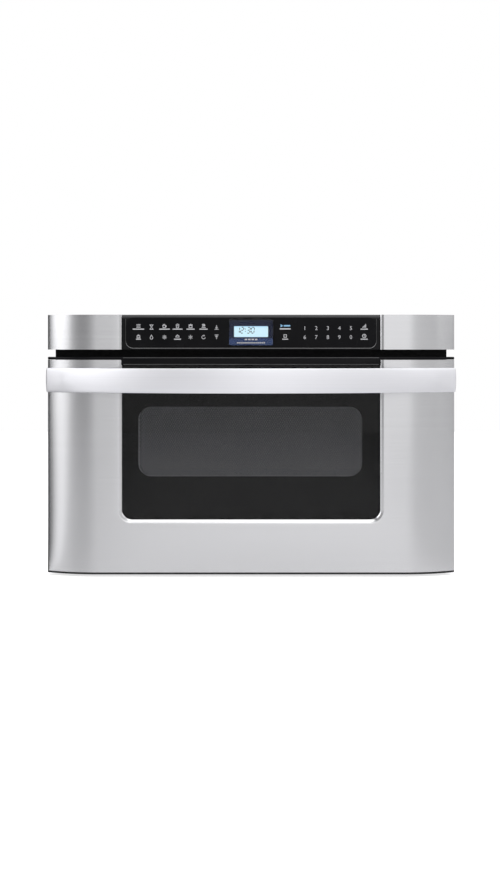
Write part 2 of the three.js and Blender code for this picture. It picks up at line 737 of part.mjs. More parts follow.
function drawerGlass() {
  const half = OPENING_WIDTH / 2 + GLASS_OVERLAP;
  const bottom = zDrawerBottom + OPENING_BOTTOM - GLASS_OVERLAP;
  return alongY(plate([-half, half], [bottom, zSkinTop]), yGlass);
}

function windowScreen() {
  const field = [-WINDOW_WIDTH / 2, WINDOW_WIDTH / 2];
  return alongY(plate(grown(field, SCREEN_OVERLAP), grown(zWindow, SCREEN_OVERLAP)), yScreen);
}

function doorFrame() {
  const x = [-xDoorFrame, xDoorFrame];
  const z = [zSkinBottom + DOOR_FRAME_MARGIN, zSkinTop - DOOR_FRAME_MARGIN];
  const window = hole(around(0, WINDOW_WIDTH), zWindow, WINDOW_RADIUS);
  const face = alongY(plate(x, z, 0, [window]), yDoorFrame);
  const flange = alongY(ring(x, z, 0, DOOR_FRAME_SHEET), [yDoorFrame[0], yDoorBack - DOOR_GAP]);
  return join(face, flange);
}

const zChoke = [zCavity[0] - CHOKE_OVERLAP, zCavity[1] + CHOKE_OVERLAP];
const yChokePlate = [yDoorBack - CHOKE_WALL, yDoorBack];

function chokeCover() {
  const x = around(0, CAVITY_WIDTH + 2 * CHOKE_SIDE_OVERLAP);
  const window = hole(around(0, WINDOW_WIDTH), zWindow, WINDOW_RADIUS);
  const face = alongY(plate(x, zChoke, CHOKE_RADIUS, [window]), yChokePlate);
  const rim = alongY(ring(x, zChoke, CHOKE_RADIUS, CHOKE_WALL), [yDoorPieces, yDoorBack]);
  const margin = PANE_LEDGE + CHOKE_WALL;
  const collar = alongY(
    ring(around(0, WINDOW_WIDTH + 2 * margin), grown(zWindow, margin), WINDOW_RADIUS, CHOKE_WALL),
    [yDoorPieces, yChokePlate[1] - CHOKE_WALL / 2],
  );
  return join(face, rim, collar);
}

function innerWindow() {
  const margin = PANE_LEDGE - SEAT;
  const pane = plate(
    around(0, WINDOW_WIDTH + 2 * margin),
    grown(zWindow, margin),
    WINDOW_RADIUS - CHOKE_WALL,
  );
  return alongY(pane, [yChokePlate[0] - SEAT - PANE_THICKNESS, yChokePlate[0] - SEAT]);
}

// A bowed band: an arc in plan with crowned edges, cut to lie on the face at both ends
function handle() {
  const yNose = yFront - HANDLE_STANDOFF;
  const xEnd = xFace + HANDLE_LAP;
  const yEnd = yFront + HANDLE_RETURN;
  const sagitta = ySwept - HANDLE_TIP - yNose;
  const radius = (xEnd * xEnd + sagitta * sagitta) / (2 * sagitta);
  const yCentre = yNose + radius;
  const reach = Math.asin(xEnd / radius);
  const points = [[xEnd - HANDLE_THICKNESS, yEnd], [xEnd, yEnd]];
  for (let i = 0; i <= HANDLE_STEPS; i += 1) {
    const angle = reach * (1 - 2 * i / HANDLE_STEPS);
    points.push([radius * Math.sin(angle), yCentre - radius * Math.cos(angle)]);
  }
  points.push([-xEnd, yEnd], [HANDLE_THICKNESS - xEnd, yEnd]);
  const inner = radius - HANDLE_THICKNESS;
  const innerReach = Math.asin((xFlat + HANDLE_THICKNESS) / inner);
  for (let i = 0; i <= HANDLE_STEPS; i += 1) {
    const angle = innerReach * (2 * i / HANDLE_STEPS - 1);
    points.push([inner * Math.sin(angle), yCentre - inner * Math.cos(angle)]);
  }
  const depth = HANDLE_HEIGHT / 4;
  const band = extrusion(polygon(points), depth, {
    bevelEnabled: true,
    bevelThickness: (HANDLE_HEIGHT - depth) / 2,
    bevelSize: HANDLE_CROWN,
    bevelOffset: -HANDLE_CROWN,
    bevelSegments: 2,
  });
  band.translate(0, 0, zHandle[0] + (HANDLE_HEIGHT - depth) / 2);
  return cut(band, faceSolid(-SEAT, yEnd + OVERLAP, [zDrawerBottom, zDrawerTop]));
}

function handleBracket() {
  const x = [xDoorFrame + SEAT, xFace - SKIN_SHEET - SEAT];
  const y = [ySwept + SKIN_SHEET + HANDLE_BRACKET_GAP, yDoorBack - DOOR_GAP];
  const middle = (zHandle[0] + zHandle[1]) / 2;
  const block = box(x, y, around(middle, HANDLE_BRACKET_HEIGHT));
  const screws = around(middle, HANDLE_SCREW_SPACING).map((z) => (
    rod('y', SCREW_RADIUS, [(x[0] + x[1]) / 2, z], grown(y, OVERLAP), SMALL_SIDES)
  ));
  return cut(block, ...screws);
}

// ---- Tub ----
const tubHalf = CAVITY_WIDTH / 2 - TUB_CLEARANCE;
const yTub = [yDoorBack + SEAT, CAVITY_DEPTH - TUB_REAR_CLEARANCE];
const zTub = [CAVITY_FLOOR + TUB_LIFT, CAVITY_FLOOR + TUB_LIFT + TUB_HEIGHT];

function tub() {
  const x = [-tubHalf, tubHalf];
  const outside = alongZ(plate(x, yTub, TUB_RADIUS), zTub);
  const rim = alongZ(
    plate(grown(x, TUB_RIM), [yTub[0], yTub[1] + TUB_RIM], TUB_RADIUS),
    [zTub[1] - TUB_RIM_HEIGHT, zTub[1]],
  );
  const inside = alongZ(
    plate(grown(x, -TUB_WALL), grown(yTub, -TUB_WALL), TUB_RADIUS - TUB_WALL),
    [zTub[0] + TUB_WALL, zTub[1] + TUB_WALL],
  );
  const frontCut = box(
    grown(x, -TUB_FRONT_POST),
    [yTub[0] - TUB_WALL, yTub[0] + 2 * TUB_WALL],
    [zTub[0] + TUB_FRONT_LIP, zTub[1] + TUB_WALL],
  );
  return cut(join(outside, rim), inside, frontCut);
}

function glassTray() {
  const x = around(0, 2 * (tubHalf - TUB_WALL - TRAY_CLEARANCE));
  const y = grown(yTub, -TUB_WALL - TRAY_CLEARANCE);
  const bottom = zTub[0] + TUB_WALL + SEAT;
  return alongZ(plate(x, y, TUB_RADIUS - TUB_WALL), [bottom, bottom + TRAY_THICKNESS]);
}

// ---- Slides: three nested channels; the balls run between their flanges ----
function slideMember(half, from, to, lip) {
  // Channel profile for the right-hand side, open away from its web
  const web = xSlide - from;
  const tip = xSlide - to;
  const t = SLIDE_SHEET;
  const z = zSlide;
  return polygon([
    [web, z - half], [web, z + half], [tip, z + half], [tip, z + half - lip],
    [tip + t, z + half - lip], [tip + t, z + half - t], [web - t, z + half - t],
    [web - t, z - half + t], [tip + t, z - half + t], [tip + t, z - half + lip],
    [tip, z - half + lip], [tip, z - half],
  ]);
}

const outerHalf = SLIDE_HEIGHT / 2;
const middleHalf = outerHalf - SLIDE_SHEET - SLIDE_BALL;
const innerHalf = middleHalf - SLIDE_SHEET - SLIDE_BALL;
const ySlide = [SLIDE_SETBACK, SLIDE_SETBACK + SLIDE_LENGTH];

function slideScrewHoles(x, z) {
  return SLIDE_SCREWS.map((place) => (
    rod('x', SCREW_RADIUS, [ySlide[0] + place, z], grown(x, OVERLAP), SMALL_SIDES)
  ));
}

function slideOuter() {
  const body = alongY(slideMember(outerHalf, 0, SLIDE_THICKNESS, SLIDE_LIP), ySlide);
  return cut(body, ...slideScrewHoles([xSlide - SLIDE_SHEET, xSlide], zSlide));
}

function slideMiddle() {
  const from = SLIDE_SHEET + RUNNING;
  const to = SLIDE_THICKNESS - RUNNING;
  return alongY(slideMember(middleHalf, from, to, SLIDE_LIP), grown(ySlide, -SLIDE_SETBACK));
}

const xInner = xSlide - SLIDE_THICKNESS - RUNNING; // drawer side of the inner member

function slideInner() {
  // The inner channel faces the other way: its web is on the drawer's side
  const tip = xSlideTip;
  const t = SLIDE_SHEET;
  const z = zSlide;
  const profile = polygon([
    [xInner, z - innerHalf], [tip, z - innerHalf], [tip, z - innerHalf + t],
    [xInner + t, z - innerHalf + t], [xInner + t, z + innerHalf - t],
    [tip, z + innerHalf - t], [tip, z + innerHalf], [xInner, z + innerHalf],
  ]);
  const body = alongY(profile, [yDoorPieces, ySlide[1]]);
  return cut(body, ...slideScrewHoles([xInner, xInner + t], z));
}

const xRail = [xInner - SEAT - RAIL_SHEET, xInner - SEAT];
const zRail = around(zSlide, RAIL_HEIGHT);
const yRail = [yDoorPieces, GEAR_Y + DRAWER_TRAVEL + RACK_OVERRUN];

function drawerRail() {
  const web = box(xRail, yRail, zRail);
  const tab = box([xRail[0] - RAIL_TAB, xRail[1]], [yDoorPieces, yDoorPieces + RAIL_SHEET], zRail);
  const screws = slideScrewHoles(xRail, zSlide);
  return cut(join(web, tab), ...screws);
}

const yCrossbar = [yRail[1] - CROSSBAR_DEPTH, yRail[1]];

function railCrossbar() {
  const x = [-xRail[0] + SEAT, xRail[0] - SEAT];
  const bottom = zRackTop + SEAT;
  const flat = box(x, yCrossbar, [bottom, bottom + CROSSBAR_SHEET]);
  const web = box(x, [yCrossbar[1] - CROSSBAR_SHEET, yCrossbar[1]], [bottom, bottom + CROSSBAR_FLANGE]);
  const tabs = [
    [x[0], x[0] + CROSSBAR_SHEET],
    [x[1] - CROSSBAR_SHEET, x[1]],
  ].map((side) => box(side, yCrossbar, [bottom - CROSSBAR_TAB, bottom + CROSSBAR_SHEET]));
  return join(flat, web, ...tabs);
}

// ---- Rack and gears ----
const pressure = THREE.MathUtils.degToRad(PRESSURE_ANGLE);
const rackPitch = Math.PI * RACK_MODULE;

function involute(angle) {
  return Math.tan(angle) - angle;
}

// Spur gear outline with its first tooth along the shape's first axis
function gearOutline(teeth, module, boreRadius) {
  const pitchRadius = teeth * module / 2;
  const base = pitchRadius * Math.cos(pressure);
  const tip = pitchRadius + ADDENDUM * module;
  const root = pitchRadius - DEDENDUM * module;
  const start = Math.max(base, root);
  const halfTooth = Math.PI / (2 * teeth) - BACKLASH / (2 * pitchRadius) + involute(pressure);
  const flank = root < base ? [[root, halfTooth]] : [];
  for (let i = 0; i <= FLANK_STEPS; i += 1) {
    const radius = start + (tip - start) * i / FLANK_STEPS;
    flank.push([radius, halfTooth - involute(Math.acos(base / radius))]);
  }
  const points = [];
  for (let tooth = 0; tooth < teeth; tooth += 1) {
    const middle = 2 * Math.PI * tooth / teeth;
    const rising = flank.map(([radius, angle]) => [radius, middle - angle]);
    const falling = flank.map(([radius, angle]) => [radius, middle + angle]).reverse();
    for (const [radius, angle] of [...rising, ...falling]) {
      points.push([radius * Math.cos(angle), radius * Math.sin(angle)]);
    }
  }
  const shape = polygon(points);
  if (boreRadius > 0) {
    shape.holes.push(roundHole(0, 0, boreRadius));
  }
  return shape;
}

function gearSolid(teeth, module, boreRadius, x, turn) {
  const geometry = alongX(gearOutline(teeth, module, boreRadius), x);
  geometry.rotateX(turn);
  return geometry;
}

// The pinion under the rack and the large wheel beside it are one moulding
function driveGear() {
  const bore = GEAR_PIN_RADIUS + RUNNING;
  const pinionX = [-xPinionEnd, xWheel[0] + OVERLAP];
  const pinion = gearSolid(PINION_TEETH, RACK_MODULE, bore, pinionX, Math.PI / 2);
  const wheel = gearSolid(WHEEL_TEETH, WHEEL_MODULE, bore, xWheel, motorAngle);
  const gear = join(pinion, wheel);
  gear.translate(0, GEAR_Y, zGear);
  return gear;
}

// A tooth space of the motor's pinion faces the wheel's tooth
function motorPinion() {
  const turn = motorAngle + Math.PI + Math.PI / MOTOR_PINION_TEETH;
  const teeth = gearSolid(MOTOR_PINION_TEETH, WHEEL_MODULE, 0, xWheel, turn);
  const shaft = rod('x', MOTOR_SHAFT_RADIUS, [0, 0], [xWheel[1] - OVERLAP, xBracket[1] + GEARBOX_DEPTH / 2]);
  const gear = join(teeth, shaft);
  gear.translate(0, yMotor, zMotor);
  return gear;
}

function rackBar() {
  const tipHalf = rackPitch / 4 - ADDENDUM * RACK_MODULE * Math.tan(pressure) - BACKLASH / 2;
  const rootHalf = rackPitch / 4 + DEDENDUM * RACK_MODULE * Math.tan(pressure) - BACKLASH / 2;
  const zRoot = zRackPitch + DEDENDUM * RACK_MODULE;
  const first = GEAR_Y - rackPitch * 2.5; // a tooth space stands over the pinion's axis
  const teeth = 1 + Math.floor((yRail[1] - rootHalf - SEAT / 2 - first) / rackPitch);
  const points = [[yDoorPieces, zRackTop], [yDoorPieces, zRoot]];
  for (let tooth = 0; tooth < teeth; tooth += 1) {
    const middle = first + tooth * rackPitch;
    points.push([middle - rootHalf, zRoot], [middle - tipHalf, zRackTip]);
    points.push([middle + tipHalf, zRackTip], [middle + rootHalf, zRoot]);
  }
  points.push([yCrossbar[1], zRoot], [yCrossbar[1], zRackTop]);
  const bar = alongX(polygon(points), around(0, RACK_WIDTH));
  const foot = box(
    around(0, RACK_FOOT_WIDTH),
    [yDoorPieces, yDoorPieces + RACK_FOOT_SHEET],
    [zRackTop - RACK_FOOT_HEIGHT, zRackTop],
  );
  return join(bar, foot);
}

function driveBracket() {
  const y = [GEAR_Y - BRACKET_MARGIN - GEAR_PIN_RADIUS, yMotor + GEARBOX_SIZE / 2];
  const floor = [zOnPan, zOnPan + BRACKET_SHEET];
  const cheek = polygon([
    [y[0], floor[0]], [y[1], floor[0]], [y[1], zMotor + BRACKET_MARGIN],
    [GEAR_Y + BRACKET_MARGIN, zGear + BRACKET_MARGIN], [y[0], zGear + BRACKET_MARGIN],
  ]);
  const left = alongX(cheek, [xBracket[0] - BRACKET_SHEET, xBracket[0]]);
  const right = alongX(cheek, [xBracket[1], xBracket[1] + BRACKET_SHEET]);
  const base = box([xBracket[0] - BRACKET_MARGIN, xBracket[1] + BRACKET_MARGIN], y, floor);
  const shaftHole = rod(
    'x', MOTOR_SHAFT_RADIUS + RUNNING, [yMotor, zMotor],
    grown([xBracket[1], xBracket[1] + BRACKET_SHEET], OVERLAP),
  );
  const pin = rod(
    'x', GEAR_PIN_RADIUS, [GEAR_Y, zGear], grown(xBracket, BRACKET_SHEET / 2), SMALL_SIDES,
  );
  return join(cut(join(left, right, base), shaftHole), pin);
}

function driveMotor() {
  const from = xBracket[1] + BRACKET_SHEET + SEAT;
  const housing = alongX(
    plate(around(yMotor, GEARBOX_SIZE), around(zMotor, GEARBOX_SIZE), GEARBOX_RADIUS),
    [from, from + GEARBOX_DEPTH],
  );
  const can = rod(
    'x', MOTOR_RADIUS, [yMotor, zMotor], [from + GEARBOX_DEPTH / 2, from + GEARBOX_DEPTH + MOTOR_LENGTH],
  );
  const bore = rod(
    'x', MOTOR_SHAFT_RADIUS + RUNNING, [yMotor, zMotor], [from - OVERLAP, from + GEARBOX_DEPTH / 2],
  );
  return cut(join(housing, can), bore);
}

// ---- Interlock ----
function latchHook() {
  const x = around(LATCH_X, LATCH_WIDTH);
  const z = around(LATCH_CENTRE, LATCH_HEIGHT);
  const foot = box(
    around(LATCH_X, LATCH_FOOT),
    [yDoorPieces, yDoorPieces + RACK_FOOT_SHEET],
    grown(z, LATCH_WIDTH / 2),
  );
  const arm = polygon([
    [yDoorPieces, z[0]], [LATCH_REACH, z[0]], [LATCH_REACH, z[1]],
    [LATCH_REACH - LATCH_WIDTH, z[1]], [LATCH_REACH - LATCH_WIDTH, z[1] - LATCH_WIDTH / 2],
    [yDoorPieces, z[1] - LATCH_WIDTH / 2],
  ]);
  return join(foot, alongX(arm, x));
}

const xSwitch = [LATCH_X - SWITCH_THICKNESS / 2, LATCH_X + SWITCH_THICKNESS / 2];

function switchBracket() {
  const x = [xSwitch[0] - SEAT - BRACKET_SHEET, xSwitch[0] - SEAT];
  const y = [LATCH_REACH, LATCH_REACH + SWITCH_BRACKET_LENGTH];
  const z = [zOnPan, LATCH_CENTRE + LATCH_HEIGHT];
  const upright = box(x, y, z);
  const foot = box([x[0] - BRACKET_MARGIN, x[1]], y, [z[0], z[0] + BRACKET_SHEET]);
  return join(upright, foot);
}

function interlockSwitch(level) {
  const z = around(LATCH_CENTRE + level * SWITCH_PITCH / 2, SWITCH_HEIGHT);
  const middle = (z[0] + z[1]) / 2;
  const front = LATCH_REACH + SEAT + PLUNGER_REACH;
  const back = front + SWITCH_LENGTH;
  const body = box(xSwitch, [front, back], z);
  const plunger = box(
    around(LATCH_X, PLUNGER_SIZE), [LATCH_REACH + SEAT, front + OVERLAP], around(middle, PLUNGER_SIZE),
  );
  const blades = [];
  for (let i = 0; i < SWITCH_TERMINALS; i += 1) {
    const height = middle + (i - (SWITCH_TERMINALS - 1) / 2) * SWITCH_TERMINAL_PITCH;
    blades.push(box(
      around(LATCH_X, TERMINAL_WIDTH),
      [back - OVERLAP, back + TERMINAL_LENGTH],
      around(height, TERMINAL_SHEET),
    ));
  }
  return join(body, plunger, ...blades);
}

// ---- Chassis ----
function basePan() {
  const inner = xPanWall - PAN_SHEET;
  const profile = polygon([
    [-xPanWall, 0], [xPanWall, 0], [xPanWall, zPanWall], [inner, zPanWall],
    [inner, PAN_SHEET], [-inner, PAN_SHEET], [-inner, zPanWall], [-xPanWall, zPanWall],
  ]);
  const y = [yCavityFlange[0], yRear[1]];
  const pan = alongY(profile, y);
  const ySupport = yCrossbar[1] + SUPPORT_GAP;
  const beads = [-1, 1].map((side) => box(
    around(side * PAN_BEAD_X, PAN_BEAD_WIDTH),
    [SLIDE_SETBACK, ySupport],
    [0, PAN_SHEET + PAN_BEAD_HEIGHT],
  ));
  const shelfTop = CAVITY_FLOOR - CAVITY_SHEET - SEAT;
  const x = around(0, CAVITY_WIDTH);
  const upright = box(x, [ySupport, ySupport + PAN_SHEET], [0, shelfTop]);
  const shelf = box(x, [ySupport - SUPPORT_SHELF, ySupport], [shelfTop - PAN_SHEET, shelfTop]);
  const frontNotch = box([-xCase, xCase], [y[0] - OVERLAP, SEAT], [FRAME_BOTTOM - SEAT, zCaseTop]);
  return cut(join(pan, ...beads, upright, shelf), frontNotch);
}

function ventSlots(u, v, count) {
  const slots = [];
  for (let row = 0; row < count; row += 1) {
    const bottom = v + row * SLOT_PITCH;
    slots.push(hole(u, [bottom, bottom + SLOT_HEIGHT]));
  }
  return slots;
}

function outerCase() {
  const inner = xCase - CASE_SHEET;
  const profile = polygon([
    [-xCase, zCaseBottom], [-xCase, zCaseTop], [xCase, zCaseTop], [xCase, zCaseBottom],
    [inner, zCaseBottom], [inner, zCaseTop - CASE_SHEET],
    [-inner, zCaseTop - CASE_SHEET], [-inner, zCaseBottom],
  ]);
  const wrap = alongY(profile, [yCavityFlange[0], yCaseEnd]);
  const slots = [];
  for (let row = 0; row < CASE_SLOTS; row += 1) {
    const bottom = zPanWall + CASE_SLOT_RISE + row * CASE_SLOT_PITCH;
    slots.push(box(
      grown([-xCase, xCase], OVERLAP), around(yFan, CASE_SLOT_LENGTH), [bottom, bottom + SLOT_HEIGHT],
    ));
  }
  return cut(wrap, ...slots);
}

function rearPanel() {
  const inner = xPanWall - PAN_SHEET - SEAT;
  const outletX = grown([DUCT_OUTLET_X, DUCT_OUTLET_X + DUCT_WIDTH], -SLOT_MARGIN);
  const holes = [
    ...ventSlots(outletX, ductZ[0] + OUTLET_SLOT_RISE, OUTLET_SLOTS),
    ...ventSlots(around(xIntake, INTAKE_SLOT_WIDTH), INTAKE_SLOT_BOTTOM, INTAKE_SLOTS),
    roundHole(xCord, zCord, CORD_HOLE_RADIUS, ROUND_SIDES),
  ];
  const z = [zOnPan, zCaseTop - CASE_SHEET - SEAT];
  return alongY(plate([-inner, inner], z, 0, holes), yRear);
}

function railSlot() {
  const x = [xRail[0] - RAIL_SLOT_MARGIN, xSlide + SEAT];
  return box(x, grown([yFrame, 0], OVERLAP), grown(around(zSlide, SLIDE_HEIGHT), RAIL_SLOT_MARGIN));
}

function frontFrame() {
  const z = [FRAME_BOTTOM, zPanel[1] + FLANGE_RISE];
  const panelX = [-xPanel, xPanel];
  const inside = hole(grown(panelX, -FRAME_SHEET), grown(zPanel, -FRAME_SHEET));
  const xScrew = (xPanel + xFlange) / 2;
  const screws = [-xScrew, xScrew].flatMap((x) => FLANGE_SCREW_ROWS.map((row) => (
    roundHole(x, row, SCREW_RADIUS)
  )));
  const flange = alongY(plate([-xFlange, xFlange], z, 0, [inside, ...screws]), [-FRAME_SHEET, 0]);
  const step = alongY(ring(panelX, zPanel, 0, FRAME_SHEET), [yFrame, 0]);
  const mouth = hole(around(0, CAVITY_WIDTH), zCavity, CAVITY_RADIUS);
  const panel = alongY(plate(panelX, zPanel, 0, [mouth]), [yFrame, yFrame + FRAME_SHEET]);
  const through = grown([yFrame, 0], OVERLAP);
  const rackSlot = box(
    around(0, RACK_WIDTH + 2 * RAIL_SLOT_MARGIN),
    through,
    [zRackTip - RAIL_SLOT_MARGIN, zRackTop + RAIL_SLOT_MARGIN],
  );
  const latchSlot = box(
    around(LATCH_X, LATCH_WIDTH + 2 * RAIL_SLOT_MARGIN),
    through,
    around(LATCH_CENTRE, LATCH_HEIGHT + 2 * RAIL_SLOT_MARGIN),
  );
  const slot = railSlot();
  return cut(join(flange, step, panel), rackSlot, latchSlot, slot, mirrored(slot));
}

function cordBushing() {
  const r = CORD_HOLE_RADIUS - SEAT;
  const halfGroove = (CASE_SHEET + 2 * SEAT) / 2;
  const flange = CORD_HOLE_RADIUS + CORD_FLANGE;
  const end = halfGroove + CORD_BUSHING_LENGTH;
  const profile = [
    [CORD_BORE_RADIUS, -end], [r, -end], [flange, -halfGroove - CORD_FLANGE], [flange, -halfGroove],
    [r, -halfGroove], [r, halfGroove], [flange, halfGroove], [flange, halfGroove + CORD_FLANGE],
    [r, halfGroove + CORD_FLANGE], [CORD_BORE_RADIUS, halfGroove + CORD_FLANGE], [CORD_BORE_RADIUS, -end],
  ].map(([radius, height]) => new THREE.Vector2(radius, height));
  const bushing = new THREE.LatheGeometry(profile, ROUND_SIDES);
  bushing.translate(xCord, (yRear[0] + yRear[1]) / 2, zCord);
  return bushing;
}

// ---- Cavity ----
function cavityBox() {
  const half = CAVITY_WIDTH / 2;
  const shell = alongY(
    ring(
      grown([-half, half], CAVITY_SHEET), grown(zCavity, CAVITY_SHEET),
      CAVITY_RADIUS + CAVITY_SHEET, CAVITY_SHEET,
    ),
    [yCavityFlange[0], CAVITY_DEPTH + CAVITY_SHEET],
  );
  const back = alongY(
    plate(grown([-half, half], CAVITY_SHEET), grown(zCavity, CAVITY_SHEET), CAVITY_RADIUS + CAVITY_SHEET),
    [CAVITY_DEPTH, CAVITY_DEPTH + CAVITY_SHEET],
  );
  const flange = alongY(
    plate(
      grown([-half, half], CAVITY_FLANGE), grown(zCavity, CAVITY_FLANGE), CAVITY_FLANGE,
      [hole([-half, half], zCavity, CAVITY_RADIUS)],
    ),
    yCavityFlange,
  );
  const pocketX = around(0, POCKET_SIZE);
  const pocketY = around(FEED_Y, POCKET_SIZE);
  const pocket = box(
    grown(pocketX, CAVITY_SHEET), grown(pocketY, CAVITY_SHEET), [zCavity[1], zPocketRoof + CAVITY_SHEET],
  );
  const recess = box(pocketX, pocketY, [zCavity[1] - OVERLAP, zPocketRoof]);
  const roof = [zPocketRoof, zPocketRoof + CAVITY_SHEET];
  const feed = rod('z', FEED_HOLE_RADIUS, [0, FEED_Y], grown(roof, OVERLAP));
  const vents = [];
  for (let row = 0; row < VENT_ROWS; row += 1) {
    for (let column = 0; column < VENT_COLUMNS; column += 1) {
      const y = LAMP_Y + (column - (VENT_COLUMNS - 1) / 2) * VENT_PITCH;
      const z = LAMP_Z + (row - (VENT_ROWS - 1) / 2) * VENT_PITCH;
      vents.push(box(grown([-half, half], 2 * CAVITY_SHEET), around(y, VENT_HOLE), around(z, VENT_HOLE)));
    }
  }
  return cut(join(shell, back, flange, pocket), recess, feed, ...vents);
}

function cavityLamp() {
  const x = -CAVITY_WIDTH / 2 - CAVITY_SHEET - SEAT;
  const y = around(LAMP_Y, LAMP_HOOD);
  const z = around(LAMP_Z, LAMP_HOOD);
  const lidX = x - LAMP_HOOD_DEPTH;
  const hood = alongX(ring(y, z, 0, LAMP_SHEET), [lidX, x]);
  const lid = box([lidX - LAMP_SHEET, lidX], y, z);
  const socket = rod('x', LAMP_SOCKET_RADIUS, [LAMP_Y, LAMP_Z], [lidX - LAMP_SOCKET_LENGTH, lidX]);
  const bulb = new THREE.SphereGeometry(LAMP_BULB_RADIUS, 12, 8);
  bulb.translate(lidX + LAMP_BULB_REACH, LAMP_Y, LAMP_Z);
  return join(hood, lid, socket, bulb);
}

function humiditySensor() {
  const x = CAVITY_WIDTH / 2 + CAVITY_SHEET + SEAT;
  const flange = box(
    [x, x + LAMP_SHEET], around(LAMP_Y, SENSOR_FLANGE_WIDTH), around(LAMP_Z, SENSOR_FLANGE_HEIGHT),
  );
  const can = rod('x', SENSOR_RADIUS, [LAMP_Y, LAMP_Z], [x, x + SENSOR_LENGTH]);
  return join(flange, can);
}

function thermalCutout() {
  const bottom = zCavity[1] + CAVITY_SHEET + SEAT;
  const top = bottom + CUTOUT_HEIGHT;
  const flange = box(
    around(CUTOUT_X, CUTOUT_FLANGE_LENGTH),
    around(CUTOUT_Y, CUTOUT_FLANGE_WIDTH),
    [bottom, bottom + CUTOUT_SHEET],
  );
  const disc = rod('z', CUTOUT_RADIUS, [CUTOUT_X, CUTOUT_Y], [bottom, top]);
  const blades = around(CUTOUT_X, TERMINAL_PITCH).map((x) => box(
    around(x, TERMINAL_SHEET), around(CUTOUT_Y, TERMINAL_WIDTH), [top - OVERLAP, top + TERMINAL_LENGTH],
  ));
  return join(flange, disc, ...blades);
}

// ---- Microwave feed ----
function waveguide() {
  const x = around(0, WAVEGUIDE_WIDTH);
  const y = [FEED_Y - WAVEGUIDE_FRONT_MARGIN, yMagnetron + WAVEGUIDE_REAR_MARGIN];
  const outer = box(x, y, zWaveguide);
  const inner = box(
    grown(x, -WAVEGUIDE_SHEET), grown(y, -WAVEGUIDE_SHEET), grown(zWaveguide, -WAVEGUIDE_SHEET),
  );
  const floor = grown([zWaveguide[0], zWaveguide[0] + WAVEGUIDE_SHEET], OVERLAP);
  const roof = grown([zWaveguide[1] - WAVEGUIDE_SHEET, zWaveguide[1]], OVERLAP);
  const feed = rod('z', FEED_HOLE_RADIUS, [0, FEED_Y], floor);
  const launcher = rod('z', ANTENNA_RADIUS + LAUNCH_GAP, [0, yMagnetron], floor);
  const shaftHole = rod('z', STIRRER_SHAFT_RADIUS + RUNNING, [0, FEED_Y], roof);
  return cut(outer, inner, feed, launcher, shaftHole);
}

function waveguideCover() {
  const z = [zCavity[1] - SEAT - FEED_COVER_SHEET, zCavity[1] - SEAT];
  return alongZ(plate(around(0, FEED_COVER_SIZE), around(FEED_Y, FEED_COVER_SIZE), FEED_COVER_RADIUS), z);
}

function stirrerAntenna() {
  const top = zPocketRoof - STIRRER_DROP;
  const slots = [];
  for (let i = 0; i < STIRRER_SLOTS; i += 1) {
    const slot = box(
      around(STIRRER_SLOT_RADIUS, STIRRER_SLOT_LENGTH),
      around(0, STIRRER_SLOT_WIDTH),
      grown([top - STIRRER_SHEET, top], OVERLAP),
    );
    slot.rotateZ(2 * Math.PI * i / STIRRER_SLOTS);
    slot.translate(0, FEED_Y, 0);
    slots.push(slot);
  }
  const disc = rod('z', STIRRER_RADIUS, [0, FEED_Y], [top - STIRRER_SHEET, top], STIRRER_SIDES);
  const shaftZ = [top - STIRRER_SHEET / 2, zWaveguide[1] + STIRRER_MOTOR_HEIGHT / 2];
  const shaft = rod('z', STIRRER_SHAFT_RADIUS, [0, FEED_Y], shaftZ, SMALL_SIDES);
  return join(cut(disc, ...slots), shaft);
}

function stirrerMotor() {
  const z = [zWaveguide[1] + SEAT, zWaveguide[1] + SEAT + STIRRER_MOTOR_HEIGHT];
  const can = rod('z', STIRRER_MOTOR_RADIUS, [0, FEED_Y], z);
  const ears = box(
    around(0, 2 * STIRRER_MOTOR_EAR), around(FEED_Y, STIRRER_MOTOR_EAR_WIDTH), [z[0], z[0] + STIRRER_SHEET],
  );
  const bore = rod(
    'z', STIRRER_SHAFT_RADIUS + RUNNING, [0, FEED_Y],
    [z[0] - OVERLAP, z[0] + STIRRER_MOTOR_HEIGHT / 2 + RUNNING],
  );
  return cut(join(can, ears), bore);
}

function magnetron() {
  const top = zWaveguide[0] - SEAT;
  const x = around(0, MAGNETRON_WIDTH);
  const y = around(yMagnetron, MAGNETRON_DEPTH);
  const z = [top - MAGNETRON_HEIGHT, top];
  const yoke = alongX(ring(y, z, 0, MAGNETRON_PLATE), x);
  const anode = rod('z', MAGNETRON_ANODE_RADIUS, [0, yMagnetron], z);
  const fins = [];
  for (let i = 1; i <= MAGNETRON_FINS; i += 1) {
    const level = z[0] + MAGNETRON_HEIGHT * i / (MAGNETRON_FINS + 1);
    fins.push(box(
      grown(x, -MAGNETRON_FIN_MARGIN), grown(y, -OVERLAP), around(level, MAGNETRON_FIN_SHEET),
    ));
  }
  const filterBox = box(
    grown(x, -FILTER_BOX_INSET_X), grown(y, -FILTER_BOX_INSET_Y), [z[0] - FILTER_BOX_HEIGHT, z[0] + OVERLAP],
  );
  const antenna = rod('z', ANTENNA_RADIUS, [0, yMagnetron], [top - OVERLAP, top + ANTENNA_HEIGHT]);
  return join(yoke, anode, ...fins, filterBox, antenna);
}

// ---- Cooling air ----
const xFan = SHROUD_X - FAN_SETBACK;

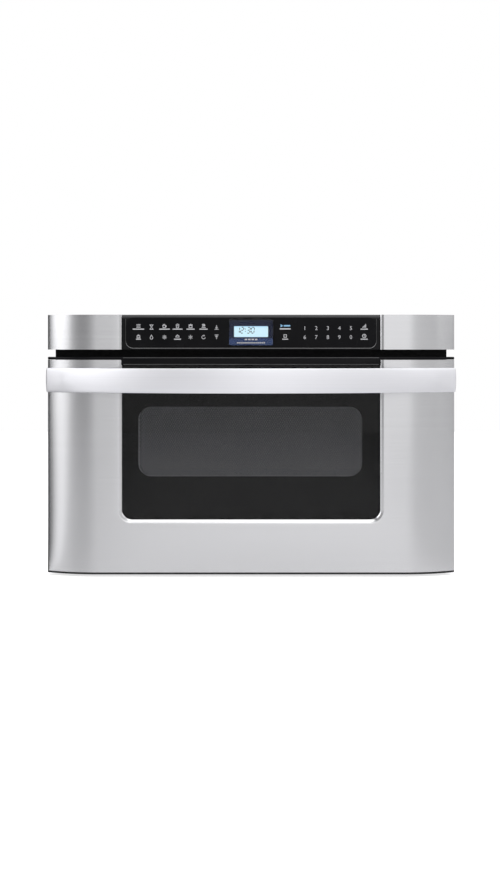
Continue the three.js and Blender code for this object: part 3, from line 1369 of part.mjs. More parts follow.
function fanBlade() {
  // A thin slab bent by formula: cambered, pitched and wrapped round the fan's axis
  const blade = new THREE.BoxGeometry(1, 1, 1, 4, 1, 3);
  const place = blade.attributes.position;
  for (let i = 0; i < place.count; i += 1) {
    const chordwise = place.getX(i);
    const along = place.getZ(i) + 0.5;
    const radius = THREE.MathUtils.lerp(FAN_ROOT_RADIUS, FAN_RADIUS, along);
    const pitch = THREE.MathUtils.degToRad(THREE.MathUtils.lerp(FAN_ROOT_PITCH, FAN_TIP_PITCH, along));
    const width = FAN_CHORD * THREE.MathUtils.lerp(FAN_ROOT_SHARE, 1, along);
    const across = chordwise * width;
    const lift = place.getY(i) * FAN_BLADE_THICKNESS + FAN_CAMBER * (1 - 4 * chordwise * chordwise);
    const tangent = across * Math.cos(pitch) - lift * Math.sin(pitch);
    const axial = across * Math.sin(pitch) + lift * Math.cos(pitch);
    const angle = tangent / radius;
    place.setXYZ(i, axial, radius * Math.cos(angle), radius * Math.sin(angle));
  }
  return blade;
}

function fanWheel() {
  const hub = rod('x', FAN_HUB_RADIUS, [0, 0], around(0, FAN_HUB_LENGTH));
  const shaft = rod('x', FAN_SHAFT_RADIUS, [0, 0], [-FAN_MOTOR_OFFSET, 0], SMALL_SIDES);
  const blades = [];
  for (let i = 0; i < FAN_BLADES; i += 1) {
    const blade = fanBlade();
    blade.rotateX(2 * Math.PI * i / FAN_BLADES);
    blades.push(blade);
  }
  const wheel = join(hub, shaft, ...blades);
  wheel.translate(xFan, yFan, FAN_Z);
  return wheel;
}

function fanShroud() {
  const y = [CAVITY_DEPTH + CAVITY_SHEET + SEAT, yRear[0] - SEAT];
  const z = [zOnPan, zCaseTop - CASE_SHEET - SHROUD_GAP];
  const bore = FAN_RADIUS + FAN_TIP_GAP;
  const wall = alongX(
    plate(y, z, 0, [roundHole(yFan, FAN_Z, bore, 2 * ROUND_SIDES)]),
    [SHROUD_X, SHROUD_X + SHROUD_SHEET],
  );
  const notch = box(
    grown([SHROUD_X, SHROUD_X + SHROUD_SHEET], OVERLAP),
    [y[0], yCrossbar[1] + SHROUD_NOTCH_GAP],
    [0, CAVITY_FLOOR + SHROUD_NOTCH_RISE],
  );
  const depth = [SHROUD_X - BELLMOUTH_DEPTH, SHROUD_X + SHROUD_SHEET];
  const collar = rod('x', bore + SHROUD_SHEET, [yFan, FAN_Z], depth, 2 * ROUND_SIDES);
  const air = rod('x', bore, [yFan, FAN_Z], grown(depth, OVERLAP), 2 * ROUND_SIDES);
  return cut(join(wall, collar), air, notch);
}

function fanMotor() {
  const x = [SHROUD_X - FAN_MOTOR_OFFSET - FAN_MOTOR_STACK, SHROUD_X - FAN_MOTOR_OFFSET];
  const stack = box(x, around(yFan, FAN_MOTOR_WIDTH), around(FAN_Z, FAN_MOTOR_HEIGHT));
  const coilBottom = FAN_Z - FAN_MOTOR_HEIGHT / 2 - FAN_COIL_DROP;
  const coil = box(
    grown(x, FAN_COIL_OVERHANG), around(yFan, FAN_COIL_WIDTH), [coilBottom, coilBottom + FAN_COIL_HEIGHT],
  );
  const strapX = [SHROUD_X - FAN_STRAP_OFFSET - FAN_STRAP_SHEET, SHROUD_X - FAN_STRAP_OFFSET];
  const reach = FAN_RADIUS + FAN_TIP_GAP + 2 * SHROUD_SHEET;
  const strap = box(strapX, around(yFan, 2 * reach), around(FAN_Z, FAN_STRAP_WIDTH));
  const ends = [-1, 1].flatMap((side) => [
    box(
      [strapX[0], SHROUD_X - SEAT],
      around(yFan + side * (reach + FAN_STRAP_SHEET / 2), FAN_STRAP_SHEET),
      around(FAN_Z, FAN_STRAP_WIDTH),
    ),
    box(
      [x[1] - OVERLAP, strapX[1]],
      around(yFan + side * (FAN_MOTOR_WIDTH / 2 - FAN_STRAP_SHEET), FAN_STRAP_SHEET),
      around(FAN_Z, FAN_STRAP_WIDTH),
    ),
  ]);
  const shaftRoom = rod('x', 2 * FAN_SHAFT_RADIUS, [yFan, FAN_Z], grown(strapX, OVERLAP), SMALL_SIDES);
  const boreX = [x[0] + FAN_BEARING_WALL, x[1] + OVERLAP];
  const bore = rod('x', FAN_SHAFT_RADIUS + RUNNING, [yFan, FAN_Z], boreX, SMALL_SIDES);
  return cut(join(stack, coil, strap, ...ends), shaftRoom, bore);
}

const ductY = around(yMagnetron, DUCT_WIDTH);
const ductZ = [zWaveguide[0] - DUCT_TOP_INSET - DUCT_HEIGHT, zWaveguide[0] - DUCT_TOP_INSET];

function ductOutline(wall, past) {
  const xCentre = DUCT_OUTLET_X - DUCT_BEND;
  const yCentre = ductY[1] + DUCT_BEND;
  const start = MAGNETRON_WIDTH / 2 + SEAT - past;
  const end = yRear[0] - SEAT + past;
  const near = DUCT_BEND + wall;
  const far = DUCT_BEND + DUCT_WIDTH - wall;
  const shape = new THREE.Shape();
  shape.moveTo(start, yCentre - far);
  shape.lineTo(xCentre, yCentre - far);
  shape.absarc(xCentre, yCentre, far, -Math.PI / 2, 0);
  shape.lineTo(xCentre + far, end);
  shape.lineTo(xCentre + near, end);
  shape.lineTo(xCentre + near, yCentre);
  shape.absarc(xCentre, yCentre, near, 0, -Math.PI / 2, true);
  shape.lineTo(start, yCentre - near);
  return shape;
}

function exhaustDuct() {
  const outer = alongZ(ductOutline(0, 0), ductZ);
  const inner = alongZ(ductOutline(DUCT_WALL, OVERLAP), grown(ductZ, -DUCT_WALL));
  return cut(outer, inner);
}

// ---- Power supply ----
function hvTransformer() {
  const x = around(xTransformer, TRANSFORMER_WIDTH);
  const y = around(yRearMiddle + TRANSFORMER_OFFSET_Y, TRANSFORMER_DEPTH);
  const core = box(x, y, [zOnPan, zOnPan + TRANSFORMER_HEIGHT]);
  const feet = box(grown(x, TRANSFORMER_FOOT), y, [zOnPan, zOnPan + TRANSFORMER_FOOT_SHEET]);
  const winding = (width, bottom, height) => alongY(
    plate(
      around(xTransformer, width), [zOnPan + bottom, zOnPan + bottom + height], COIL_RADIUS,
    ),
    grown(y, COIL_OVERHANG),
  );
  const primary = winding(PRIMARY_WIDTH, PRIMARY_BOTTOM, PRIMARY_HEIGHT);
  const secondary = winding(SECONDARY_WIDTH, SECONDARY_BOTTOM, SECONDARY_HEIGHT);
  return join(core, feet, primary, secondary);
}

function hvCapacitor() {
  const sheet = CAPACITOR_CLAMP_SHEET;
  const x = around(xCapacitor, CAPACITOR_WIDTH);
  const middle = yRearMiddle + CAPACITOR_OFFSET_Y;
  const y = around(middle, CAPACITOR_LENGTH);
  const z = [zOnPan + sheet, zOnPan + sheet + CAPACITOR_HEIGHT];
  const clampY = around(middle, CAPACITOR_CLAMP);
  const can = alongY(plate(x, z, CAPACITOR_HEIGHT / 2 - sheet), y);
  const clamp = alongY(plate(grown(x, sheet), grown(z, sheet), CAPACITOR_HEIGHT / 2), clampY);
  const foot = box([x[0] - CAPACITOR_FOOT, x[1]], clampY, [zOnPan, zOnPan + sheet]);
  const blades = around(xCapacitor, CAPACITOR_TERMINAL_SPAN)
    .flatMap((place) => around(place, TERMINAL_PITCH))
    .map((place) => box(
      around(place, TERMINAL_SHEET),
      [y[0] - TERMINAL_LENGTH, y[0] + OVERLAP],
      around((z[0] + z[1]) / 2, TERMINAL_WIDTH),
    ));
  return join(can, clamp, foot, ...blades);
}

function noiseFilterBoard() {
  const back = yRear[0] - SEAT;
  const y = [back - FILTER_POST - BOARD_SHEET, back - FILTER_POST];
  const x = around(xFilter, FILTER_WIDTH);
  const z = around(zFilter, FILTER_HEIGHT);
  const board = box(x, y, z);
  const posts = grown(x, -FILTER_POST_INSET).flatMap((px) => grown(z, -FILTER_POST_INSET).map((pz) => (
    rod('y', FILTER_POST_RADIUS, [px, pz], [y[1] - OVERLAP, back], SMALL_SIDES)
  )));
  const standing = (depth) => [y[0] - depth, y[0] + OVERLAP];
  const choke = rod(
    'y', CHOKE_COIL_RADIUS, [xFilter + CHOKE_COIL_OFFSET, zFilter], standing(CHOKE_COIL_LENGTH),
  );
  const capacitor = box(
    around(xFilter + FILTER_CAP_OFFSET, FILTER_CAP_WIDTH),
    standing(FILTER_CAP_DEPTH),
    around(zFilter, FILTER_CAP_HEIGHT),
  );
  const fuse = box(
    around(xFilter + FUSE_OFFSET, FUSE_WIDTH), standing(FUSE_DEPTH), around(zFilter, FUSE_HEIGHT),
  );
  return join(board, ...posts, choke, capacitor, fuse);
}

// ---- Control panel ----
const controlZ = [zControlBottom, zControlTop];
const yBezel = [yFront + BEZEL_SETBACK, yFront + BEZEL_SETBACK + BEZEL_DEPTH];
const yLcd = [yBezel[0] + BEZEL_WALL + SEAT, yBezel[0] + BEZEL_WALL + SEAT + LCD_DEPTH];
const yBoard = [yLcd[1] + SEAT, yLcd[1] + SEAT + BOARD_SHEET];
const yPocket = yFront + HOUSING_POCKET_DEPTH;

function controlSkin() {
  const right = box([0, 2 * xFace], [2 * yFront, 0], grown(controlZ, OVERLAP));
  return common(skinWithOpening(controlZ), right);
}

function controlHousing() {
  const z = controlZ;
  const body = faceSolid(SKIN_SHEET + SEAT, yFrame - SEAT, z);
  const pocket = box(
    grown(around(0, OPENING_WIDTH), -HOUSING_POCKET_INSET),
    [yFront - OVERLAP, yPocket],
    grown(z, -HOUSING_WALL),
  );
  const bezelRoom = box(
    around(0, OPENING_WIDTH), [yFront - OVERLAP, yBezel[1] + SEAT], grown(z, OVERLAP),
  );
  const posts = around(0, CONTROL_BOARD_WIDTH - 2 * HOUSING_POST_INSET).map((x) => rod(
    'y', HOUSING_POST_RADIUS, [x, zControlMiddle], [yBoard[1] + SEAT, yPocket + OVERLAP], SMALL_SIDES,
  ));
  return join(cut(body, openingPlug(SKIN_SHEET + SEAT), bezelRoom, pocket), ...posts);
}

function controlBezel() {
  const half = OPENING_WIDTH / 2 - SEAT;
  const profile = polygon([
    [yBezel[0], controlZ[0]], [yBezel[1], controlZ[0]], [yBezel[1], controlZ[1]],
    [yBezel[0] + BEZEL_CHAMFER, controlZ[1]], [yBezel[0], controlZ[1] - BEZEL_CHAMFER],
  ]);
  const body = alongX(profile, [-half, half]);
  const back = box(
    grown([-half, half], -BEZEL_WALL),
    [yBezel[0] + BEZEL_WALL, yBezel[1] + OVERLAP],
    [controlZ[0] + BEZEL_WALL, controlZ[1] - BEZEL_WALL - BEZEL_CHAMFER / 2],
  );
  const window = box(
    grown(around(0, LCD_WIDTH), -LCD_BORDER),
    grown([yBezel[0], yBezel[0] + BEZEL_WALL], OVERLAP),
    grown(around(zControlMiddle, LCD_HEIGHT), -LCD_BORDER),
  );
  return cut(body, back, window);
}

const yTouch = [yBezel[0] - SEAT - TOUCH_THICKNESS, yBezel[0] - SEAT];
const zTouch = grown(controlZ, -TOUCH_MARGIN);
const zLens = grown(zTouch, -LENS_MARGIN);

function touchPlate() {
  const lens = hole(
    around(0, LENS_WIDTH + 2 * SEAT), grown(zLens, SEAT), LENS_RADIUS,
  );
  return alongY(
    plate(
      grown(around(0, OPENING_WIDTH), -TOUCH_SIDE_MARGIN),
      zTouch,
      TOUCH_RADIUS,
      [lens],
    ),
    yTouch,
  );
}

function displayLens() {
  return alongY(plate(around(0, LENS_WIDTH), zLens, LENS_RADIUS), yTouch);
}

function lcdModule() {
  return box(around(0, LCD_WIDTH), yLcd, around(zControlMiddle, LCD_HEIGHT));
}

function controlBoard() {
  const board = box(around(0, CONTROL_BOARD_WIDTH), yBoard, around(zControlMiddle, CONTROL_BOARD_HEIGHT));
  const relays = [];
  for (let i = 0; i < RELAY_COUNT; i += 1) {
    const x = (i - (RELAY_COUNT - 1) / 2) * RELAY_PITCH;
    relays.push(box(
      around(x, RELAY_WIDTH),
      [yBoard[1] - OVERLAP, yBoard[1] + RELAY_DEPTH],
      around(zControlMiddle, RELAY_HEIGHT),
    ));
  }
  return join(board, ...relays);
}

// ---- Assembly ----
function group(name, ...members) {
  const holder = new THREE.Group();
  holder.name = name;
  holder.add(...members);
  return holder;
}

function pair(name, geometry, material) {
  return [piece(`${name}_left`, mirrored(geometry), material), piece(`${name}_right`, geometry, material)];
}

const chassis = group(
  'chassis',
  piece('base_pan', basePan(), zinc),
  piece('outer_case', outerCase(), zinc),
  piece('rear_panel', rearPanel(), zinc),
  piece('front_frame', frontFrame(), blackSheet),
  piece('cord_bushing', cordBushing(), blackPlastic),
  ...pair('slide_outer', slideOuter(), zinc),
);
const cavity = group(
  'cavity',
  piece('cavity_box', cavityBox(), paleEnamel),
  piece('cavity_lamp', cavityLamp(), zinc),
  piece('humidity_sensor', humiditySensor(), zinc),
  piece('thermal_cutout', thermalCutout(), blackPlastic),
);
const feed = group(
  'microwave_feed',
  piece('waveguide', waveguide(), zinc),
  piece('waveguide_cover', waveguideCover(), mica),
  piece('stirrer_antenna', stirrerAntenna(), zinc),
  piece('stirrer_motor', stirrerMotor(), zinc),
  piece('magnetron', magnetron(), zinc),
);
const cooling = group(
  'cooling',
  piece('fan_shroud', fanShroud(), blackPlastic),
  piece('fan_motor', fanMotor(), iron),
  piece('fan_wheel', fanWheel(), whitePlastic),
  piece('exhaust_duct', exhaustDuct(), blackPlastic),
);
const supply = group(
  'power_supply',
  piece('hv_transformer', hvTransformer(), copper),
  piece('hv_capacitor', hvCapacitor(), zinc),
  piece('noise_filter_board', noiseFilterBoard(), boardGreen),
);
const control = group(
  'control_panel',
  piece('control_housing', controlHousing(), blackPlastic),
  ...pair('control_skin', controlSkin(), steel),
  piece('control_bezel', controlBezel(), blackPlastic),
  piece('touch_plate', touchPlate(), darkGlass),
  piece('display_lens', displayLens(), navyLens),
  piece('lcd_module', lcdModule(), paleEnamel),
  piece('control_board', controlBoard(), boardGreen),
);
const drive = group(
  'drive',
  piece('drive_bracket', driveBracket(), zinc),
  piece('drive_motor', driveMotor(), iron),
  piece('drive_gear', driveGear(), gearNylon),
  piece('motor_pinion', motorPinion(), gearNylon),
);
const interlock = group(
  'interlock',
  piece('switch_bracket', switchBracket(), zinc),
  piece('upper_interlock_switch', interlockSwitch(1), blackPlastic),
  piece('lower_interlock_switch', interlockSwitch(-1), blackPlastic),
);
const drawerFront = group(
  'drawer_front',
  piece('drawer_skin', drawerSkin(), steel),
  piece('drawer_top_cap', drawerTopCap(), blackPlastic),
  piece('drawer_bottom_trim', drawerBottomTrim(), blackPlastic),
  piece('drawer_glass', drawerGlass(), darkGlass),
  piece('window_screen', windowScreen(), iron),
  piece('door_frame', doorFrame(), zinc),
  piece('choke_cover', chokeCover(), blackPlastic),
  piece('inner_window', innerWindow(), clearGlass),
  piece('handle', handle(), steel),
  ...pair('handle_bracket', handleBracket(), zinc),
);
const drawerBody = group(
  'drawer_body',
  piece('tub', tub(), paleEnamel),
  piece('glass_tray', glassTray(), clearGlass),
  ...pair('drawer_rail', drawerRail(), zinc),
  piece('rail_crossbar', railCrossbar(), zinc),
  ...pair('slide_inner', slideInner(), zinc),
  piece('rack_bar', rackBar(), gearNylon),
  piece('latch_hook', latchHook(), whitePlastic),
);
const drawer = group('drawer', drawerFront, drawerBody, ...pair('slide_middle', slideMiddle(), zinc));

const appliance = group(
  'microwave_drawer', chassis, cavity, feed, cooling, supply, control, drive, interlock, drawer,
);

export default appliance;
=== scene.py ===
"""Looks of a built-in microwave drawer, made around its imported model.

Everything is in metres, in the model's frame: x across, the front faces -y, z up.
"""

import json
import math

import bmesh
import bpy
import numpy as np
from bpy.props import BoolProperty, FloatProperty, FloatVectorProperty, PointerProperty
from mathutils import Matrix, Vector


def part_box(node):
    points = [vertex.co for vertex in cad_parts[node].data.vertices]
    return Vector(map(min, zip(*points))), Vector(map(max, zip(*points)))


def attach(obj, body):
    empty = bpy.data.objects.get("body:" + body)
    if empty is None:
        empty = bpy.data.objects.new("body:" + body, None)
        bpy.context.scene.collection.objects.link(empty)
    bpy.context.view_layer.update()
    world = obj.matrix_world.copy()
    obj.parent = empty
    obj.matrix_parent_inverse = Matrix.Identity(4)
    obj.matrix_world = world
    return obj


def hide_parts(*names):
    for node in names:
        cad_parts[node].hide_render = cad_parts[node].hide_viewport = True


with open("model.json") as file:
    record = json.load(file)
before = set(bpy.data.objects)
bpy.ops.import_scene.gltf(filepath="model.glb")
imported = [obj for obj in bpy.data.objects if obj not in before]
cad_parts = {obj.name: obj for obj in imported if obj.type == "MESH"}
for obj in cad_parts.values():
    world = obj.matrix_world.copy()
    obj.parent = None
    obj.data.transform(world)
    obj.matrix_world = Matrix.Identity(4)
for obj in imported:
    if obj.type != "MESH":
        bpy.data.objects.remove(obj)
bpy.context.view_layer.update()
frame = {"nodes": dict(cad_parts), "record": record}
NODES = frame["nodes"]
SLOT_OF = {row["node"]: row["material_slot"] for row in frame["record"]["subparts"]}

bl_info = {
    "name": "Microwave drawer",
    "version": (1, 0, 0),
    "blender": (4, 5, 0),
    "location": "3D View > Sidebar > Microwave drawer",
    "description": "Finishes and fine pieces of a built-in microwave drawer",
    "category": "Object",
}

MM = 0.001


def lo_hi(node, axis):
    """Lowest and highest place of a model node along one axis (0, 1 or 2)."""
    low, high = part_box(node)
    return low[axis], high[axis]


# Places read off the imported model
Y_FACE = lo_hi("drawer_skin", 1)[0]
Y_DOOR_BACK = lo_hi("drawer_skin", 1)[1]
X_FACE = lo_hi("drawer_skin", 0)[1]
Z_SKIN = lo_hi("drawer_skin", 2)
Z_CONTROL = lo_hi("control_skin_right", 2)
X_OPENING = lo_hi("control_skin_right", 0)[0]
Z_CAP = lo_hi("drawer_top_cap", 2)
Z_TRIM = lo_hi("drawer_bottom_trim", 2)
Z_HANDLE = lo_hi("handle", 2)
X_HANDLE = lo_hi("handle", 0)[1]
Y_HANDLE = lo_hi("handle", 1)
Y_TOUCH = lo_hi("touch_plate", 1)
CELL_Z = (353.9 * MM, 370.0 * MM)

# Sizes of the face that the fine pieces repeat. The handle's band is drawn a little lower than its solid
BEND_RADIUS = 150 * MM
BEND_ANGLE = math.radians(29.5)
CORNER_RADIUS = 4 * MM
SKIN_SHEET = 1.2 * MM
LIP_WIDTH = 5.2 * MM
LIP_ROUND = 0.7 * MM
OPENING_RADIUS = 15 * MM
Z_OPENING = Z_TRIM[0] + 81.5 * MM
HANDLE_THICKNESS = 9 * MM
HANDLE_Z = (Z_HANDLE[0] - 0.4 * MM, Z_HANDLE[1] - 1.4 * MM)
FIT = 0.3 * MM
PRINT = 0.04 * MM


# ---- Mesh helpers ----
def mesh_object(name, points, faces, finish, body, replaced=(), smooth_angle=35):
    """Makes a piece from points and faces, with its finish and on its body."""
    data = bpy.data.meshes.new(name)
    data.from_pydata(points.reshape(-1, 3).tolist(), [], faces)
    work = bmesh.new()
    work.from_mesh(data)
    bmesh.ops.remove_doubles(work, verts=work.verts, dist=1e-7)
    bmesh.ops.recalc_face_normals(work, faces=work.faces)
    work.to_mesh(data)
    work.free()
    data.validate()
    piece = bpy.data.objects.new(name, data)
    bpy.context.scene.collection.objects.link(piece)
    data.materials.append(material(finish))
    data.shade_smooth()
    data.set_sharp_from_angle(angle=math.radians(smooth_angle))
    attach(piece, body)
    if replaced:
        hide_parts(*replaced)


def grid_faces(rows, columns, close_rows=False, close_columns=False, start=0):
    """Quads of a grid of rows x columns points, numbered row by row from start."""
    last_row = rows if close_rows else rows - 1
    last_column = columns if close_columns else columns - 1
    r, c = np.meshgrid(np.arange(last_row), np.arange(last_column), indexing="ij")
    r, c = r.ravel(), c.ravel()
    r2, c2 = (r + 1) % rows, (c + 1) % columns
    quads = np.stack([r * columns + c, r * columns + c2, r2 * columns + c2, r2 * columns + c], 1)
    return (quads + start).tolist()


def shell_faces(rows, columns):
    """Quads of a closed sheet: a front grid, a back grid after it, and the four rims between them."""
    size = rows * columns
    index = np.arange(size).reshape(rows, columns)
    rim = np.concatenate([index[0, :-1], index[:-1, -1], index[-1, :0:-1], index[:0:-1, 0]])
    after = np.roll(rim, -1)
    rims = np.stack([rim, after, after + size, rim + size], 1)
    front = grid_faces(rows, columns)
    back = grid_faces(rows, columns, start=size)
    return front + back + rims.tolist()


def loop_faces(loops, around):
    """Quads between closed loops of points, and one many-sided face on each end."""
    ends = [list(range(around)), list(range((loops - 1) * around, loops * around))]
    return grid_faces(loops, around, close_columns=True) + ends


def steps(*spans):
    """Joined runs of evenly spaced values; each span is (start, end, count)."""
    runs = [np.linspace(a, b, n, endpoint=False) for a, b, n in spans]
    return np.concatenate(runs + [[spans[-1][1]]])


# ---- Plan of the face ----
X_CORNER = X_FACE - CORNER_RADIUS
X_FLAT = X_CORNER - (BEND_RADIUS - CORNER_RADIUS) * math.sin(BEND_ANGLE)
Y_BEND = Y_FACE + BEND_RADIUS
Y_CORNER = Y_BEND - (BEND_RADIUS - CORNER_RADIUS) * math.cos(BEND_ANGLE)
S_BEND = X_FLAT + BEND_RADIUS * BEND_ANGLE
S_CORNER = S_BEND + CORNER_RADIUS * (math.pi / 2 - BEND_ANGLE)
S_END = S_CORNER + (Y_DOOR_BACK - Y_CORNER)


def face_plan(s, inset=0.0):
    """Place on the face seen from above, at the distance s along it from the middle.

    The plan runs straight as far as X_FLAT, then turns back on an arc of the bend's radius, then
    on one of the corner's radius, and then straight back. A point is the place on that line, moved
    inwards along the line's normal by the inset. Gives x and y.
    """
    side = np.sign(s)
    t = np.abs(s)
    turn = np.clip((t - X_FLAT) / BEND_RADIUS, 0, BEND_ANGLE)
    turn = turn + np.clip((t - S_BEND) / CORNER_RADIUS, 0, math.pi / 2 - BEND_ANGLE)
    in_corner = t > S_BEND
    x = np.where(in_corner, X_CORNER + CORNER_RADIUS * np.sin(turn),
                 np.minimum(t, X_FLAT) + BEND_RADIUS * np.sin(turn))
    y = np.where(in_corner, Y_CORNER - CORNER_RADIUS * np.cos(turn),
                 Y_BEND - BEND_RADIUS * np.cos(turn))
    y = y + np.maximum(t - S_CORNER, 0)
    return side * (x - inset * np.sin(turn)), y + inset * np.cos(turn)


def face_front(x):
    """How far forward the face is at the width x: the same arcs, read the other way."""
    a = np.abs(x)
    on_bend = np.sqrt(np.maximum(BEND_RADIUS ** 2 - np.maximum(a - X_FLAT, 0) ** 2, 0))
    on_corner = np.sqrt(np.maximum(CORNER_RADIUS ** 2 - np.maximum(a - X_CORNER, 0) ** 2, 0))
    x_bend_end = X_FLAT + BEND_RADIUS * math.sin(BEND_ANGLE)
    y = np.where(a > x_bend_end, Y_CORNER - on_corner, Y_BEND - on_bend)
    return np.where(a > X_FACE, 1.0, y)


# Across the lip, in millimetres out from the opening: how steep its front is there, in degrees
SIDE_SLOPES = ((0.0, 33), (1.5, 31), (2.0, 16), (5.0, 12.5), (5.9, 0))
FOOT_SLOPES = ((0.0, 34), (3.5, 32), (4.1, 22), (5.2, 15), (5.9, 0))
# The lip's rows of points, in millimetres: how far behind the face the first one lies, how far out the
# first four are, how far behind the slope's upper end the next three lie, and how far out the rest are
LIP_DEPTH = 4.8
LIP_TURN = (0.0, 0.0, 0.1, 0.35)
LIP_BACK = (0.5, 0.21, 0.0)
LIP_ROWS = (0.9, 1.5, 1.65, 1.82, 2.0, 2.8, 3.5, 3.8, 4.1, 4.5, 5.0, 5.3, 5.6)


def lip_profile(slopes):
    """Edge of the steel round the glass, from its inner end to the face.

    The sheet stands straight up from the glass, turns over in a small radius, falls at a steady slope
    and eases into the face: its depth at a place is the sum of the slope's tangent from the face as
    far as that place. The back line is the front one moved back by the sheet. Gives the distance out
    from the opening and the depth behind the face, for the front and for the back.
    """
    places, slopes = np.array(slopes, float).T
    fine = np.linspace(places[-1], LIP_TURN[-1], 200)
    fall = np.tan(np.radians(np.interp(fine, places, slopes)))
    depth = np.concatenate([[0.0], np.cumsum((fall[1:] + fall[:-1]) / 2 * -np.diff(fine))])
    rest = np.append(LIP_ROWS, places[-1])
    out = np.concatenate([LIP_TURN, rest])
    front = np.concatenate([[LIP_DEPTH], depth[-1] + np.array(LIP_BACK), np.interp(-rest, -fine, depth)])
    sheet = SKIN_SHEET / MM
    back_out = sheet + out * (places[-1] - sheet) / places[-1]
    back = np.interp(-back_out, -fine, depth) + sheet
    back[0] = LIP_DEPTH
    return (out * MM, front * MM), (back_out * MM, back * MM)


WING_STEPS = ((X_FLAT, 3), (S_BEND, 30), (S_CORNER, 8), (S_END, 8))


def wing_run(start):
    """Distances along the face from start to its returned end, close together where it bends."""
    spans = []
    at = start
    for end, count in WING_STEPS:
        spans.append((at, end, count))
        at = end
    return steps(*spans)


# ---- Shader graphs ----
class Graph:
    """Adds nodes to one node tree and joins them."""

    def __init__(self, tree):
        self.tree = tree

    def link(self, value, socket):
        """Joins an output to an input."""
        self.tree.links.new(value, socket)

    def add(self, kind, inputs=None, **settings):
        """A new shader node; inputs are values or other nodes' outputs, by name or number."""
        made = self.tree.nodes.new("ShaderNode" + kind)
        for key, value in settings.items():
            setattr(made, key, value)
        for key, value in (inputs or {}).items():
            if isinstance(value, bpy.types.NodeSocket):
                self.link(value, made.inputs[key])
            else:
                made.inputs[key].default_value = value
        return made

    def maths(self, operation, *values):
        """One step of arithmetic on values."""
        return self.add("Math", dict(enumerate(values)), operation=operation).outputs[0]

    def weighed(self, a, share_a, b, share_b):
        """Sum of two values, each times its share."""
        return self.maths("ADD", self.maths("MULTIPLY", a, share_a), self.maths("MULTIPLY", b, share_b))

    def blend(self, factor, a, b):
        """Mix of two colours; a plain colour has three parts and gets its fourth here."""
        a, b = ((*part, 1) if isinstance(part, tuple) else part for part in (a, b))
        return self.add("Mix", {0: factor, 6: a, 7: b}, data_type="RGBA").outputs[2]

    def span(self, value, low, high, to_low=0.0, to_high=1.0):
        """The value carried from one range to another, smoothly and kept inside it."""
        ends = {"From Min": low, "From Max": high, "To Min": to_low, "To Max": to_high}
        return self.add("MapRange", {"Value": value, **ends}, interpolation_type="SMOOTHSTEP").outputs[0]

    def axis(self, vector, letter):
        """One part of a vector."""
        return self.add("SeparateXYZ", {0: vector}).outputs[letter]

    def noise(self, place, scale, detail, distortion=0.0):
        """Smooth noise round 0.5."""
        inputs = {"Vector": place, "Scale": scale, "Detail": detail, "Distortion": distortion}
        return self.add("TexNoise", inputs).outputs[0]


def brushed_grain(graph, source):
    """Long fine scratches: noise drawn out along one axis, fine on coarse."""
    inputs = {0: source["Vector"], 1: source["Stretch"]}
    drawn = graph.add("VectorMath", inputs, operation="MULTIPLY").outputs[0]
    wide = graph.add("VectorMath", {0: drawn, 3: source["Coarse"]}, operation="SCALE").outputs[0]
    total = graph.maths("ADD", graph.noise(drawn, 1.0, 2.0), graph.noise(wide, 1.0, 3.0))
    return {"Mask": graph.maths("MULTIPLY", total, 0.5)}


def soft_cloud(graph, source):
    """Slow uneven patches: smooth noise at a given size, cut to a given softness."""
    noise = graph.noise(source["Vector"], source["Scale"], 4.0, 0.4)
    return {"Mask": graph.span(noise, source["Low"], source["High"])}


def moulded_grain(graph, source):
    """Fine leathery grain of moulded plastic: the distance between cells, with noise in it."""
    inputs = {"Vector": source["Vector"], "Scale": source["Scale"]}
    cells = graph.add("TexVoronoi", inputs, feature="SMOOTH_F1")
    noise = graph.noise(source["Vector"], source["Scale"], 2.0)
    height = graph.maths("ADD", cells.outputs["Distance"], graph.maths("MULTIPLY", noise, 0.5))
    return {"Height": height, "Mask": graph.span(noise, 0.3, 0.7)}


def settled_dust(graph, source):
    """Dust on surfaces that face up: how level the surface is, times patchy noise."""
    level = graph.span(graph.axis(graph.add("NewGeometry").outputs["Normal"], "Z"), 0.6, 1.0)
    patch = graph.span(graph.noise(source["Vector"], source["Scale"], 6.0), 0.35, 0.75)
    return {"Mask": graph.maths("MULTIPLY", graph.maths("MULTIPLY", level, patch), source["Amount"])}


def spangle(graph, source):
    """Crystal pattern of zinc-coated sheet: flat-toned cells of two sizes."""
    tones = []
    for factor, part in ((1.0, 0), (2.7, 1)):
        inputs = {"Vector": source["Vector"], "Scale": graph.maths("MULTIPLY", source["Scale"], factor)}
        cells = graph.add("TexVoronoi", inputs)
        tones.append(graph.add("SeparateColor", {0: cells.outputs["Color"]}).outputs[part])
    return {"Mask": graph.weighed(tones[0], 0.65, tones[1], 0.35)}


# The shared groups' own inputs and their first values, beside the place that all of them take
SHARED_GROUPS = (
    (brushed_grain, {"Stretch": (3.0, 3.0, 2200.0), "Coarse": 0.16}),
    (soft_cloud, {"Scale": 12.0, "Low": 0.35, "High": 0.7}),
    (moulded_grain, {"Scale": 1400.0}),
    (settled_dust, {"Scale": 30.0, "Amount": 0.3}),
    (spangle, {"Scale": 130.0}),
)


def build_shared_groups():
    """Node groups that put out masks and heights, each by the function of its name."""
    for build, values in SHARED_GROUPS:
        tree = bpy.data.node_groups.new(build.__name__, "ShaderNodeTree")
        tree.interface.new_socket(name="Vector", in_out="INPUT", socket_type="NodeSocketVector")
        for label, value in values.items():
            kind = "NodeSocketVector" if isinstance(value, tuple) else "NodeSocketFloat"
            tree.interface.new_socket(name=label, in_out="INPUT", socket_type=kind).default_value = value
        made = build(Graph(tree), tree.nodes.new("NodeGroupInput").outputs)
        for label in made:
            tree.interface.new_socket(name=label, in_out="OUTPUT", socket_type="NodeSocketFloat")
        target = tree.nodes.new("NodeGroupOutput")
        for label, value in made.items():
            tree.links.new(value, target.inputs[label])


